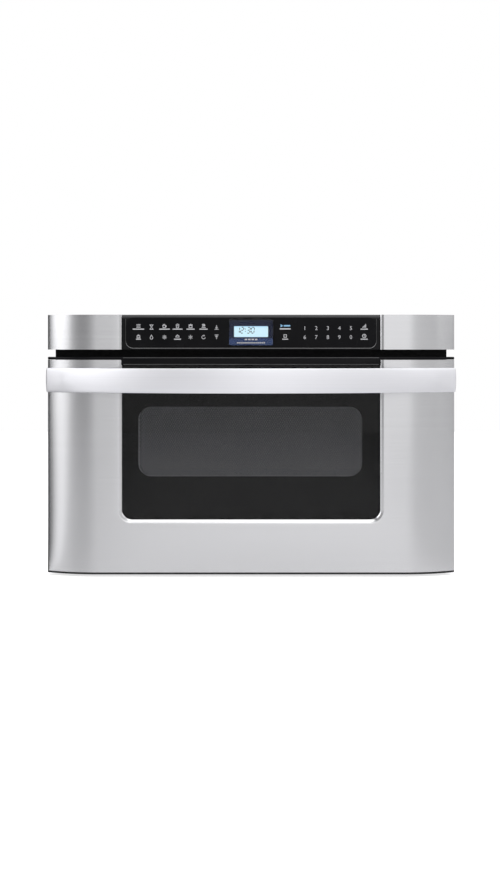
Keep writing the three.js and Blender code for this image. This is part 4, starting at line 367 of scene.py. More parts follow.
# ---- Finishes ----
class Finish(Graph):
    """One finish's nodes: its shader, and patterns laid out over the object."""

    def __init__(self, made):
        super().__init__(made.node_tree)
        self.shader = made.node_tree.nodes["Principled BSDF"]
        self.place = self.add("TexCoord").outputs["Object"]

    def group(self, name, **values):
        """One of the shared groups with its own values; gives its outputs."""
        tree = bpy.data.node_groups[name]
        return self.add("Group", {"Vector": self.place, **values}, node_tree=tree).outputs

    def cloud(self, scale, low, high):
        """Slow uneven patches, as a mask."""
        return self.group("soft_cloud", Scale=scale, Low=low, High=high)["Mask"]

    def paint(self, colour):
        """Base colour from another node."""
        self.link(colour, self.shader.inputs["Base Color"])

    def tone(self, mask, dark, light):
        """Base colour between two colours by a mask."""
        self.paint(self.blend(mask, dark, light))

    def rough(self, mask, low, high):
        """Roughness between two values by a mask."""
        node = self.add("MapRange", {"Value": mask, "To Min": low, "To Max": high})
        self.link(node.outputs[0], self.shader.inputs["Roughness"])

    def bump(self, height, strength, distance):
        """Fine relief from a height."""
        node = self.add("Bump", {"Height": height, "Strength": strength, "Distance": distance})
        self.link(node.outputs[0], self.shader.inputs["Normal"])

    def set(self, **constants):
        """Constants on the shader's own sockets, each named as its socket with _ for a space."""
        for key, value in constants.items():
            self.shader.inputs[key.replace("_", " ")].default_value = value


# Finishes with one pattern of patches, a grain or both. Each row: the patches' scale and cut (or None),
# the grain's scale (or None), the colours at the ends of the tone, which pattern sets the roughness and
# its ends, the relief's strength and distance (or None), and the shader's constants
PLAIN_FINISHES = {
    # Satin black paint on sheet metal, with orange peel
    "black_sheet": ((25.0, 0.5, 0.8), 420.0, (0.002, 0.002, 0.0025), (0.006, 0.006, 0.0065),
                    ("grain", 0.34, 0.5), (0.12, 0.0001), {"Specular_IOR_Level": 0.1}),
    # Matt black moulded plastic
    "black_plastic": ((18.0, 0.45, 0.8), 1300.0, (0.011, 0.011, 0.012), (0.021, 0.021, 0.022),
                      ("grain", 0.42, 0.6), (0.25, 0.0001), {"Specular_IOR_Level": 0.3}),
    # Black touch panel film: a fine even grain under a soft gloss
    "touch_film": ((20.0, 0.4, 0.8), 2600.0, (0.006, 0.006, 0.007), (0.009, 0.009, 0.010),
                   ("cloud", 0.2, 0.34), (0.05, 0.00004), {"Specular_IOR_Level": 0.055}),
    # Dark segments of the display
    "display_digit": ((300.0, 0.2, 0.9), None, (0.010, 0.020, 0.035), (0.018, 0.032, 0.05),
                      ("cloud", 0.5, 0.6), None, {}),
    # Pale grey screen print of the key symbols
    "key_print": (None, 5200.0, (0.50, 0.50, 0.52), (0.64, 0.64, 0.66), ("grain", 0.45, 0.6), None, {}),
    # Pale blue screen print of the start symbol
    "start_print": (None, 5200.0, (0.24, 0.50, 0.74), (0.31, 0.59, 0.84), ("grain", 0.45, 0.6), None, {}),
    # Black ceramic print behind the door glass
    "glass_print": (None, 2400.0, (0.0018, 0.0018, 0.002), (0.003, 0.003, 0.0032),
                    ("grain", 0.6, 0.7), None, {"Specular_IOR_Level": 0.1}),
    # Painted highlight: a pale grey line standing in for light caught on an edge of a gloss black part
    "painted_edge_highlight": ((30.0, 0.3, 0.8), None, (0.085, 0.085, 0.087), (0.14, 0.14, 0.143),
                  ("cloud", 0.35, 0.5), None, {}),
    # Pale moulded plastic of the tub
    "tub_plastic": ((10.0, 0.35, 0.75), 900.0, (0.55, 0.56, 0.55), (0.66, 0.67, 0.66),
                    ("grain", 0.34, 0.48), (0.12, 0.0001), {"Subsurface_Weight": 0.03}),
    # Cream nylon of the rack and gears, with a greasy sheen
    "gear_nylon": ((60.0, 0.4, 0.7), 1500.0, (0.76, 0.73, 0.63), (0.62, 0.58, 0.47),
                   ("cloud", 0.5, 0.24), (0.1, 0.0001), {"Subsurface_Weight": 0.05}),
    # White plastic of the fan wheel and small housings
    "white_plastic": ((30.0, 0.35, 0.75), 1300.0, (0.72, 0.72, 0.69), (0.80, 0.80, 0.77),
                      ("grain", 0.36, 0.5), (0.1, 0.0001), {}),
    # Zinc-plated screws
    "bright_steel": ((300.0, 0.3, 0.8), None, (0.48, 0.48, 0.46), (0.62, 0.62, 0.60),
                     ("cloud", 0.24, 0.4), None, {"Metallic": 1.0}),
    # Blackened screws
    "black_screw": ((300.0, 0.3, 0.8), None, (0.020, 0.020, 0.021), (0.05, 0.05, 0.052),
                    ("cloud", 0.3, 0.45), None, {"Metallic": 0.6}),
}
RECIPES = {}


def plain_finish(look, cloud, grain, dark, light, gloss, relief, constants):
    """A finish from its row: the tone goes by the patches, or by the grain where there are none."""
    masks = {}
    if cloud:
        masks["cloud"] = look.cloud(*cloud)
    if grain:
        pattern = look.group("moulded_grain", Scale=grain)
        masks["grain"] = pattern["Mask"]
    look.tone(next(iter(masks.values())), dark, light)
    setter, low, high = gloss
    look.rough(masks[setter], low, high)
    if relief:
        look.bump(pattern["Height"], *relief)
    look.set(**constants)


def recipe(function):
    """Keeps a finish's function under the function's own name."""
    RECIPES[function.__name__] = function
    return function


def material(name):
    """The named finish, built the first time that it is asked for."""
    if name in bpy.data.materials and bpy.data.materials[name].get("finish_built"):
        return bpy.data.materials[name]
    made = bpy.data.materials.new(name)
    made.name = name
    made.use_nodes = True
    made["finish_built"] = True
    if name in PLAIN_FINISHES:
        plain_finish(Finish(made), *PLAIN_FINISHES[name])
    else:
        RECIPES[name](Finish(made))
    return made


def brushed_metal(look, colour, low, high, anisotropic):
    """Brushed sheet metal: long scratches in tone, roughness and relief, with faint hand marks."""
    grain = look.group("brushed_grain")["Mask"]
    dark, light = (tuple(min(1.0, part * factor) for part in colour) for factor in (0.98, 1.015))
    look.tone(look.span(grain, 0.36, 0.64), dark, light)
    look.rough(look.weighed(grain, 0.7, look.cloud(7.0, 0.45, 0.8), 0.3), low, high)
    look.bump(grain, 0.03, 0.00003)
    look.set(Metallic=1.0, Anisotropic=anisotropic, Anisotropic_Rotation=0.25)
    tangent = look.add("Tangent", direction_type="RADIAL", axis="Z")
    look.link(tangent.outputs[0], look.shader.inputs["Tangent"])


@recipe
def stainless(look):
    """Brushed stainless steel of the face."""
    brushed_metal(look, bpy.context.scene.drawer_finish.steel_colour, 0.20, 0.27, 0.7)


@recipe
def handle_steel(look):
    """Satin steel of the handle."""
    brushed_metal(look, bpy.context.scene.drawer_finish.handle_colour, 0.42, 0.5, 0.25)


@recipe
def zinc_sheet(look):
    """Zinc-coated sheet: crystals, rolling marks and settled dust."""
    crystals = look.group("spangle", Scale=95.0)["Mask"]
    rolled = look.group("brushed_grain", Stretch=(500.0, 6.0, 500.0))["Mask"]
    dust = look.group("settled_dust", Scale=22.0, Amount=0.35)["Mask"]
    metal = look.blend(crystals, (0.44, 0.45, 0.46), (0.62, 0.63, 0.64))
    look.tone(dust, metal, (0.42, 0.40, 0.37))
    lift = look.maths("ADD", look.weighed(crystals, 0.5, rolled, 0.5), look.maths("MULTIPLY", dust, 0.8))
    look.rough(lift, 0.3, 0.56)
    look.bump(rolled, 0.12, 0.00005)
    look.set(Metallic=0.9)


@recipe
def enamel(look):
    """Pale grey enamel of the cavity, with fine dark specks."""
    specks = look.add("TexVoronoi", {"Vector": look.place, "Scale": 420.0}).outputs["Distance"]
    cloud = look.cloud(9.0, 0.35, 0.75)
    base = look.blend(cloud, (0.50, 0.50, 0.49), (0.58, 0.58, 0.57))
    look.tone(look.span(specks, 0.12, 0.2), (0.16, 0.16, 0.16), base)
    look.rough(cloud, 0.22, 0.34)
    look.bump(look.group("moulded_grain", Scale=300.0)["Height"], 0.06, 0.0001)
    look.set(Coat_Weight=0.3)


@recipe
def gloss_black(look):
    """Gloss black trim with hairline wiping marks."""
    hair = look.group("brushed_grain", Stretch=(12.0, 12.0, 1800.0), Coarse=0.3)["Mask"]
    smear = look.cloud(14.0, 0.4, 0.8)
    look.tone(smear, (0.006, 0.006, 0.007), (0.010, 0.010, 0.011))
    look.rough(look.weighed(hair, 0.5, smear, 0.5), 0.12, 0.26)
    look.bump(hair, 0.03, 0.00003)
    look.set(Specular_IOR_Level=0.09)


def graded_finish(look, mask, colours, heights, beyond, gloss, **constants):
    """Tone by a mask, going over into one other colour from the first height to the second."""
    height = look.span(look.axis(look.place, "Z"), *heights)
    look.tone(height, look.blend(mask, *colours), beyond)
    look.rough(mask, *gloss)
    look.set(**constants)


@recipe
def bezel_black(look):
    """Gloss black of the control panel's frame, with a painted highlight: paler over its bevelled top edge.
    """
    graded_finish(
        look, look.cloud(14.0, 0.4, 0.8), ((0.005, 0.005, 0.006), (0.008, 0.008, 0.009)),
        (Z_CONTROL[1] - 7 * MM, Z_CONTROL[1] + 1 * MM), (0.115, 0.115, 0.118), (0.2, 0.32),
        Specular_IOR_Level=0.12,
    )


@recipe
def display_navy(look):
    """Navy surround printed behind the display's lens, paler and bluer below the cell."""
    graded_finish(
        look, look.cloud(40.0, 0.3, 0.8), ((0.006, 0.009, 0.028), (0.009, 0.014, 0.040)),
        (CELL_Z[0], CELL_Z[0] - 4 * MM), (0.034, 0.058, 0.145), (0.5, 0.6), Specular_IOR_Level=0.1,
    )


@recipe
def outline_print(look):
    """Line round the touch plate, a painted highlight: pale along its lower edge and dark up its sides."""
    graded_finish(
        look, look.group("moulded_grain", Scale=5200.0)["Mask"], ((0.24, 0.24, 0.245), (0.30, 0.30, 0.305)),
        (Z_CONTROL[0] + 3 * MM, Z_CONTROL[0] + 14 * MM), (0.035, 0.035, 0.036), (0.4, 0.55),
    )


@recipe
def screen_steel(look):
    """Dark coated perforated screen behind the glass, with painted light: paler low down."""
    graded_finish(
        look, look.cloud(20.0, 0.3, 0.8), ((0.20, 0.20, 0.203), (0.24, 0.24, 0.244)),
        (0.24, 0.15), (0.30, 0.30, 0.306), (0.5, 0.62), Metallic=0.2,
    )


@recipe
def display_cell(look):
    """Lit liquid crystal cell: pale blue, more blue towards its edges, with a fine pixel grid."""
    edges = []
    for letter, number, inner, outer in (("X", 0, 0.44, 0.54), ("Z", 2, 0.26, 0.36)):
        low, high = lo_hi("lcd_module", number)
        away = look.maths("ABSOLUTE", look.maths("SUBTRACT", look.axis(look.place, letter), (low + high) / 2))
        edges.append(look.span(away, inner * (high - low), outer * (high - low)))
    edge = look.maths("MAXIMUM", *edges)
    rows = look.add("TexWave", {"Vector": look.place, "Scale": 900.0}, bands_direction="Z").outputs["Fac"]
    lit = look.blend(edge, (0.62, 0.85, 0.93), (0.46, 0.72, 0.92))
    fine = look.blend(look.maths("MULTIPLY", rows, 0.06), lit, (0.2, 0.4, 0.5))
    look.link(fine, look.shader.inputs["Emission Color"])
    look.tone(edge, (0.05, 0.07, 0.08), (0.02, 0.05, 0.08))
    look.set(Emission_Strength=1.0, Roughness=0.35)


def glass(look, colour, smear_low, smear_high, bend=1.2):
    """Clear or tinted glass with faint wiping marks in its gloss."""
    look.rough(look.cloud(9.0, 0.4, 0.85), smear_low, smear_high)
    look.set(Base_Color=(*colour, 1), Transmission_Weight=1.0, IOR=bend)


@recipe
def tinted_glass(look):
    """Smoked glass of the door."""
    glass(look, bpy.context.scene.drawer_finish.glass_tint, 0.0, 0.012, 1.232)


@recipe
def clear_glass(look):
    """Clear glass of the tray and the inner pane, with a green edge."""
    glass(look, (0.86, 0.93, 0.91), 0.02, 0.07)


@recipe
def lens_glass(look):
    """Clear plastic lens over the display."""
    glass(look, (0.93, 0.95, 0.98), 0.0, 0.012)


@recipe
def circuit_board(look):
    """Green circuit board with lighter copper tracks under the lacquer."""
    tracks = look.add("TexBrick", {
        "Vector": look.place, "Scale": 60.0,
        "Color1": (0.02, 0.10, 0.04, 1), "Color2": (0.03, 0.13, 0.055, 1), "Mortar": (0.07, 0.22, 0.09, 1),
        "Mortar Size": 0.035, "Brick Width": 0.9, "Row Height": 0.22,
    }).outputs
    look.paint(tracks["Color"])
    look.rough(tracks["Fac"], 0.28, 0.42)
    look.bump(tracks["Fac"], 0.3, 0.00005)


@recipe
def mica(look):
    """Mica sheet: pearly flakes."""
    flakes = look.group("spangle", Scale=160.0)["Mask"]
    look.tone(flakes, (0.38, 0.31, 0.21), (0.58, 0.50, 0.37))
    look.rough(flakes, 0.3, 0.55)
    look.bump(flakes, 0.15, 0.0001)


@recipe
def iron_core(look):
    """Varnished steel laminations: thin sheets seen on edge."""
    inputs = {"Vector": look.place, "Scale": 320.0, "Distortion": 0.3}
    sheets = look.add("TexWave", inputs, bands_direction="Y").outputs["Fac"]
    cloud = look.cloud(28.0, 0.35, 0.75)
    mixed = look.maths("MULTIPLY", look.maths("ADD", sheets, cloud), 0.5)
    look.tone(mixed, (0.07, 0.068, 0.066), (0.16, 0.155, 0.15))
    look.rough(cloud, 0.32, 0.5)
    look.bump(sheets, 0.3, 0.0001)
    look.set(Metallic=0.5)


@recipe
def aluminium_can(look):
    """Drawn aluminium with drawing marks."""
    marks = look.group("brushed_grain", Stretch=(700.0, 700.0, 12.0))["Mask"]
    look.tone(look.span(marks, 0.35, 0.65), (0.54, 0.55, 0.56), (0.68, 0.69, 0.70))
    look.rough(look.cloud(24.0, 0.4, 0.8), 0.3, 0.45)
    look.bump(marks, 0.15, 0.00005)
    look.set(Metallic=1.0)


# ---- What a user would change ----
class DrawerFinish(bpy.types.PropertyGroup):
    """Colours of the drawer's finishes."""

    steel_colour: FloatVectorProperty(
        name="Steel", description="Brushed steel of the face", subtype="COLOR", size=3,
        default=(0.62, 0.62, 0.635),
    )
    handle_colour: FloatVectorProperty(
        name="Handle", description="Satin steel of the handle", subtype="COLOR", size=3,
        default=(0.825, 0.825, 0.86),
    )
    glass_tint: FloatVectorProperty(
        name="Glass tint", description="Tint of the door glass", subtype="COLOR", size=3,
        default=(0.46, 0.46, 0.47),
    )


class DrawerSizes(bpy.types.PropertyGroup):
    """Sizes of the fine pieces."""

    screw_radius: FloatProperty(
        name="Screw head", description="Radius of a screw's head", unit="LENGTH", default=3.6 * MM, min=1 * MM
    )
    hole_pitch: FloatProperty(
        name="Hole pitch", description="Distance between holes in the window screen", unit="LENGTH",
        default=3.4 * MM, min=2 * MM,
    )
    hole_radius: FloatProperty(
        name="Hole radius", description="Radius of a hole in the window screen", unit="LENGTH",
        default=1.05 * MM, min=0.3 * MM,
    )
    digit_height: FloatProperty(
        name="Key digits", description="Height of the digits on the keys", unit="LENGTH", default=5.7 * MM
    )
    show_clock: BoolProperty(
        name="Show the clock", description="Dark digits on the display", default=True
    )


class StageLook(bpy.types.PropertyGroup):
    """Camera, lamps and floor."""

    lens: FloatProperty(name="Lens", description="Camera's focal length in millimetres", default=54.8, min=10)
    distance: FloatProperty(
        name="Distance", description="Camera ahead of the face", unit="LENGTH", default=2.0, min=0.5
    )
    height: FloatProperty(name="Height", description="Camera above the floor", unit="LENGTH", default=0.335)
    rise: FloatProperty(name="Shift up", description="Camera's shift up the picture", default=-0.1073)
    aside: FloatProperty(name="Shift right", description="Camera's shift across the picture", default=-0.0012)
    floor_size: FloatProperty(
        name="Floor", description="Length of the floor's side", unit="LENGTH", default=7.0
    )
    lamp_strength: FloatProperty(name="Lamps", description="Strength of all the lamps", default=1.0, min=0.0)


# ---- Camera, lamps and floor ----
# Brightness of the room in gloss, from hard left (0) to hard right (1)
ROOM_SIDEWAYS = (
    (0.00, 0.03), (0.03, 0.05), (0.045, 0.22), (0.06, 1.00), (0.078, 1.35), (0.10, 1.48), (0.13, 1.22),
    (0.16, 0.95), (0.19, 0.72), (0.23, 0.42), (0.27, 0.26), (0.32, 0.24), (0.37, 0.42), (0.41, 0.74),
    (0.435, 0.84), (0.455, 0.88), (0.475, 1.00), (0.50, 1.20), (0.53, 1.28), (0.60, 1.30), (0.622, 1.18),
    (0.645, 0.98), (0.68, 0.90), (0.71, 0.88), (0.80, 0.82), (0.88, 0.68), (0.93, 0.60), (0.957, 0.58),
    (1.00, 0.55),
)
# The same from straight down (0) to straight up (1), multiplied with it
ROOM_UPWARDS = (
    (0.00, 0.90), (0.35, 0.90), (0.45, 0.88), (0.51, 0.90), (0.58, 1.05), (0.66, 1.26), (0.74, 1.34),
    (0.80, 1.18), (0.90, 1.02), (1.00, 0.95),
)
# The room in gloss goes over to its back part, and that to white, over these spans of the direction's y
ROOM_BEHIND = (-0.06, 0.06)
ROOM_WHITE = (0.6, 0.97)
# The back part's tones: span of the direction's x, then the tone at each end
ROOM_FLANKS = (-0.5, 0.5, 0.08, 0.72)
# Over this span of x the tones by height level out to one
ROOM_LEVELS = (0.15, 0.40)
ROOM_LEVEL = (0.92, 0.92, 0.92)
# The dark place at the left is filled in below the horizon: span of the direction's z with its tones,
# and the span of the sideways place that it fades in over
ROOM_FILL = (-0.03, 0.035, 0.5, 0.0)
ROOM_FILL_FROM = (0.13, 0.20)
ROOM_DIFFUSE = (0.62, 0.62, 0.63)
WHITE = (1.0, 1.0, 1.0)

# Floor in gloss, for the left wing. A place's turn is the sine of the angle at the wing's foot between
# straight ahead and the place: dark far round, and a paler band before it
WING_FOOT_X = -0.29
DARK_TURN = (0.825, 0.90, 0.0, 0.92)
DARK_AHEAD = (0.0, 0.2, 1.0, 0.0)
BAND_RISE = (0.60, 0.72, 0.0, 0.4)
BAND_FALL = (0.77, 0.84, 1.0, 0.0)
# Glow of the floor in gloss, by the distance from the middle, and as the camera sees it
MIDDLE_X = 0.03
MIDDLE_GLOW = (0.42, 0.18, 0.0, 0.28)
SEEN_GLOW = 0.7

# Softboxes: name, place, width and height, power
LAMPS = (
    ("lamp_over", (0.2, -0.9, 2.4), (2.4, 1.6), 17),
    ("lamp_left", (-2.3, -1.6, 1.3), (1.2, 1.6), 10),
    ("lamp_right", (2.4, -1.2, 1.5), (1.4, 1.6), 9),
    ("lamp_back", (0.4, 2.6, 2.2), (2.4, 1.4), 16),
)
LAMP_TARGET = (0, 0.2, 0.2)
SENSOR_WIDTH = 36
CLIP = (0.05, 60)


def light_path(graph):
    """The rays' kinds, and a mask of what the camera sees itself or through glass."""
    path = graph.add("LightPath").outputs
    return path, graph.maths("MAXIMUM", path["Is Camera Ray"], path["Is Transmission Ray"])


def ramp(graph, value, tones):
    """Grey tones at places from 0 to 1, run through by a value."""
    node = graph.add("ValToRGB", {0: value})
    stops = node.color_ramp.elements
    while len(stops) > 1:
        stops.remove(stops[-1])
    stops[0].position = tones[0][0]
    stops[0].color = (tones[0][1],) * 3 + (1,)
    for position, level in tones[1:]:
        stops.new(position).color = (level,) * 3 + (1,)
    return node.outputs[0]


def studio_world(scene):
    """White background; in gloss, a soft grey room in front of the object and white behind it.

    The room's front part is the sideways ramp times the upwards one.
    """
    world = bpy.data.worlds.new("studio")
    scene.world = world
    world.use_nodes = True
    graph = Graph(world.node_tree)
    back = world.node_tree.nodes["Background"]
    path, seen = light_path(graph)
    parts = graph.add("SeparateXYZ", {0: graph.add("TexCoord").outputs["Generated"]}).outputs
    sideways, upwards = (graph.maths("MULTIPLY_ADD", parts[letter], 0.5, 0.5) for letter in "XZ")
    walls = ramp(graph, sideways, ROOM_SIDEWAYS)
    heights = ramp(graph, upwards, ROOM_UPWARDS)
    levelled = graph.blend(graph.span(parts["X"], *ROOM_LEVELS), heights, ROOM_LEVEL)
    fill = graph.maths("MULTIPLY", graph.span(parts["Z"], *ROOM_FILL), graph.span(sideways, *ROOM_FILL_FROM))
    filled = graph.add("VectorMath", {0: walls, 1: fill}, operation="MAXIMUM").outputs[0]
    ahead = graph.add("VectorMath", {0: filled, 1: levelled}, operation="MULTIPLY").outputs[0]
    flank = graph.span(parts["X"], *ROOM_FLANKS)
    behind = graph.add("CombineColor", {0: flank, 1: flank, 2: flank}).outputs[0]
    room = graph.blend(graph.span(parts["Y"], *ROOM_BEHIND), ahead, behind)
    room = graph.blend(graph.span(parts["Y"], *ROOM_WHITE), room, WHITE)
    lit = graph.blend(path["Is Glossy Ray"], ROOM_DIFFUSE, room)
    graph.link(graph.blend(seen, lit, WHITE), back.inputs["Color"])
    back.inputs["Strength"].default_value = 1.0
    graph.link(back.outputs[0], world.node_tree.nodes["World Output"].inputs["Surface"])


def soft_lamp(name, place, size, power):
    """A rectangular softbox that looks at the object."""
    data = bpy.data.lights.new(name, "AREA")
    data.shape = "RECTANGLE"
    data.size, data.size_y = size
    data.energy = power
    lamp = bpy.data.objects.new(name, data)
    bpy.context.scene.collection.objects.link(lamp)
    lamp.location = place
    away = np.array(place) - np.array(LAMP_TARGET)
    yaw = math.atan2(away[0], -away[1])
    pitch = math.atan2(math.hypot(away[0], away[1]), away[2])
    lamp.rotation_euler = (pitch, 0, yaw)


class STAGE_OT_microwave_drawer(bpy.types.Operator):
    """Camera, lamps, world and floor"""

    bl_idname = "microwave_drawer.stage"
    bl_label = "Stage"

    def execute(self, context):
        scene = context.scene
        look = scene.drawer_stage
        data = bpy.data.cameras.new("camera")
        data.lens = look.lens
        data.sensor_width = SENSOR_WIDTH
        data.shift_x, data.shift_y = look.aside, look.rise
        data.clip_start, data.clip_end = CLIP
        camera = bpy.data.objects.new("camera", data)
        scene.collection.objects.link(camera)
        camera.location = (0, Y_FACE - look.distance, look.height)
        camera.rotation_euler = (math.pi / 2, 0, 0)
        scene.camera = camera
        scene.view_settings.view_transform = "Standard"
        studio_world(scene)
        for name, place, size, power in LAMPS:
            soft_lamp(name, place, size, power * look.lamp_strength)
        build_floor(look.floor_size)
        return {"FINISHED"}


def build_floor(size):
    """Pale floor that keeps the object's shadow, and white where the camera sees it lit.

    In gloss it has the tones that the left wing mirrors, and a glow in the middle.
    """
    half = size / 2
    data = bpy.data.meshes.new("floor")
    corners = [(-half, -half, 0), (half, -half, 0), (half, half, 0), (-half, half, 0)]
    data.from_pydata(corners, [], [(0, 1, 2, 3)])
    floor = bpy.data.objects.new("floor", data)
    bpy.context.scene.collection.objects.link(floor)
    made = bpy.data.materials.new("floor_white")
    made.use_nodes = True
    look = Finish(made)
    look.set(Roughness=0.9, Specular_IOR_Level=0.1)
    path, seen = light_path(look)
    x, y = (look.axis(look.place, letter) for letter in "XY")
    left = look.maths("MAXIMUM", look.maths("SUBTRACT", WING_FOOT_X, x), 0.0)
    ahead = look.maths("MINIMUM", y, -0.001)
    squares = [look.maths("MULTIPLY", part, part) for part in (left, ahead)]
    turn = look.maths("DIVIDE", left, look.maths("SQRT", look.maths("ADD", *squares)))
    dark = look.maths("MULTIPLY", look.span(turn, *DARK_TURN), look.span(y, *DARK_AHEAD))
    band = look.maths("MULTIPLY", look.span(turn, *BAND_RISE), look.span(turn, *BAND_FALL))
    look.tone(path["Is Glossy Ray"], (0.9, 0.9, 0.9), look.blend(dark, (0.78, 0.78, 0.78), (0.0, 0.0, 0.0)))
    from_middle = look.maths("ABSOLUTE", look.maths("SUBTRACT", x, MIDDLE_X))
    glow = look.maths("ADD", look.span(from_middle, *MIDDLE_GLOW), band)
    mirrored = look.maths("MULTIPLY", path["Is Glossy Ray"], glow)
    strength = look.maths("ADD", look.maths("MULTIPLY", seen, SEEN_GLOW), mirrored)
    light = look.add("Emission", {"Color": (1, 1, 1, 1), "Strength": strength})
    both = look.add("AddShader", {0: look.shader.outputs[0], 1: light.outputs[0]})
    look.link(both.outputs[0], made.node_tree.nodes["Material Output"].inputs["Surface"])
    data.materials.append(made)


# ---- Finishes of the model's own nodes ----
# Nodes whose finish isn't their material slot's
NODE_FINISH = {
    "display_lens": "lens_glass",
    "window_screen": "screen_steel",
    "control_bezel": "bezel_black",
}


class FINISH_OT_microwave_drawer(bpy.types.Operator):
    """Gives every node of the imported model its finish"""

    bl_idname = "microwave_drawer.finishes"
    bl_label = "Finishes"

    def execute(self, context):
        build_shared_groups()
        for name, node in NODES.items():
            node.data.materials.clear()
            node.data.materials.append(material(NODE_FINISH.get(name, SLOT_OF[name])))
            node.data.polygons.foreach_set("material_index", np.zeros(len(node.data.polygons), np.int32))
        return {"FINISHED"}


# ---- Steel skins ----
# Rows of points: down beside the opening, round its corner, half along its foot, and on the outer edge
# from the corner's height down
SIDE_ROWS = 10
CORNER_ROWS = 50
BOTTOM_ROWS = 12
LOW_ROWS = 10
LIP_END = LIP_WIDTH + LIP_ROUND


def opening_path(margin):
    """The glass opening's edge as one line down the left side, round two corners and up the right.

    Straight runs and quarter circles, all moved out from the opening by the margin. Gives x and z,
    each with a last axis for the margins.
    """
    half = X_OPENING + margin
    bottom = Z_OPENING - margin
    radius = OPENING_RADIUS + margin
    ones = np.ones(SIDE_ROWS)
    down = np.linspace(0, 1, SIDE_ROWS)
    z_side = Z_SKIN[1] + np.multiply.outer(down, bottom + radius - Z_SKIN[1])
    turn = np.linspace(0, math.pi / 2, CORNER_ROWS)[1:]
    x_turn = -half + np.multiply.outer(1 - np.cos(turn), radius)
    z_turn = bottom + np.multiply.outer(1 - np.sin(turn), radius)
    across = np.linspace(0, 1, BOTTOM_ROWS)[1:]
    x_run = (-half + radius) * (1 - across[:, None])
    z_run = np.broadcast_to(bottom, x_run.shape)
    x = np.concatenate([np.multiply.outer(-ones, half), x_turn, x_run])
    z = np.concatenate([z_side, z_turn, z_run])
    x = np.concatenate([x, -x[-2::-1]])
    z = np.concatenate([z, z[-2::-1]])
    return x, z


def outer_path():
    """The skin's outer edge in distance along the face and height, point for point with the opening's."""
    z_turn = Z_OPENING + OPENING_RADIUS
    z_side = np.linspace(Z_SKIN[1], z_turn, SIDE_ROWS)
    z_low = np.linspace(z_turn, Z_SKIN[0], LOW_ROWS + 1)[1:]
    run = wing_run(X_OPENING - OPENING_RADIUS)[::-1][1:]
    keep = np.linspace(0, len(run) - 1, CORNER_ROWS - 1 - LOW_ROWS).round().astype(int)
    s_turn = -run[keep]
    s = np.concatenate([np.full(SIDE_ROWS + LOW_ROWS, -S_END), s_turn])
    z = np.concatenate([z_side, z_low, np.full(len(s_turn), Z_SKIN[0])])
    across = np.linspace(0, 1, BOTTOM_ROWS)[1:]
    s = np.concatenate([s, s[-1] * (1 - across)])
    z = np.concatenate([z, np.full(len(across), Z_SKIN[0])])
    return np.concatenate([s, -s[-2::-1]]), np.concatenate([z, z[-2::-1]])


def skin_points(side_profile, foot_profile, inset):
    """Points of one side of the drawer's skin: lip rows, then rows from the lip to the outer edge.

    Round the corners the lip's depth goes over smoothly from the sides' profile to the foot's.
    """
    out, depth = side_profile
    x, z = opening_path(out)
    turned = np.linspace(0, 1, CORNER_ROWS)[1:]
    foot = np.concatenate([np.zeros(SIDE_ROWS), turned ** 2 * (3 - 2 * turned), np.ones(BOTTOM_ROWS - 1)])
    foot = np.concatenate([foot, foot[-2::-1]])[:, None]
    y = Y_FACE + depth * (1 - foot) + foot_profile[1] * foot
    lip = np.stack([x, y, z], -1)
    s_in, z_in = (part[:, 0] for part in opening_path(np.array([LIP_END])))
    s_out, z_out = outer_path()
    start = X_OPENING + LIP_END
    share = (wing_run(start)[1:] - start) / (S_END - start)
    s = s_in[:, None] * (1 - share) + s_out[:, None] * share
    height = z_in[:, None] * (1 - share) + z_out[:, None] * share
    x_face, y_face = face_plan(s, inset)
    face = np.stack([x_face, y_face, height], -1)
    return np.concatenate([lip, face], 1)


class SKIN_OT_microwave_drawer(bpy.types.Operator):
    """Steel skins of the drawer and of the control strip's two ends"""

    bl_idname = "microwave_drawer.skins"
    bl_label = "Steel skins"

    def execute(self, context):
        front_lip, back_lip = lip_profile(SIDE_SLOPES)
        front_foot, back_foot = lip_profile(FOOT_SLOPES)
        front = skin_points(front_lip, front_foot, 0)
        back = skin_points(back_lip, back_foot, SKIN_SHEET)
        faces = shell_faces(*front.shape[:2])
        points = np.concatenate([front, back])
        mesh_object("drawer_steel", points, faces, "stainless", "drawer", ["drawer_skin"])
        for side, label in ((-1, "left"), (1, "right")):
            points = [self.strip(side, *part) for part in ((front_lip, 0), (back_lip, SKIN_SHEET))]
            faces = shell_faces(*points[0].shape[:2])
            mesh_object(
                f"control_steel_{label}", np.concatenate(points), faces, "stainless", "chassis",
                [f"control_skin_{label}"],
            )
        return {"FINISHED"}

    def strip(self, side, profile, inset):
        """One side of a control strip's end: the lip's profile, then the face's plan, at several heights."""
        out, depth = profile
        x, y = face_plan(wing_run(X_OPENING + LIP_END)[1:], inset)
        x = np.concatenate([X_OPENING + out, x])
        y = np.concatenate([Y_FACE + depth, y])
        z = np.linspace(*Z_CONTROL, 5)
        shape = (len(z), len(x))
        return np.stack([np.broadcast_to(side * x, shape), np.broadcast_to(y, shape),
                         np.broadcast_to(z[:, None], shape)], -1)


# ---- Black cap and trim ----
CAP_EDGE = 1.1 * MM
CAP_LOWERED = 0.8 * MM
SKIRT_DROP = 2.2 * MM
SKIRT_DEPTH = 4.5 * MM
SKIRT_TUCK = 1.6 * MM
SKIRT_EDGE = 0.8 * MM
SKIRT_CORNER = 0.9 * MM
TRIM_EDGE = 0.7 * MM
TRIM_RAISED = 0.8 * MM
# Painted highlights: pale lines along the skirt's foot and the cap's top, and how far in from its ends they
# stop
HIGHLIGHT_LINE = 0.7 * MM
LINE_OVER_FOOT = 0.9 * MM
LINE_UNDER_TOP = 1.3 * MM
LINE_ENDS = 1.5 * MM
# The first place beside the middle on a slab's front
FIRST_STEP = 20 * MM


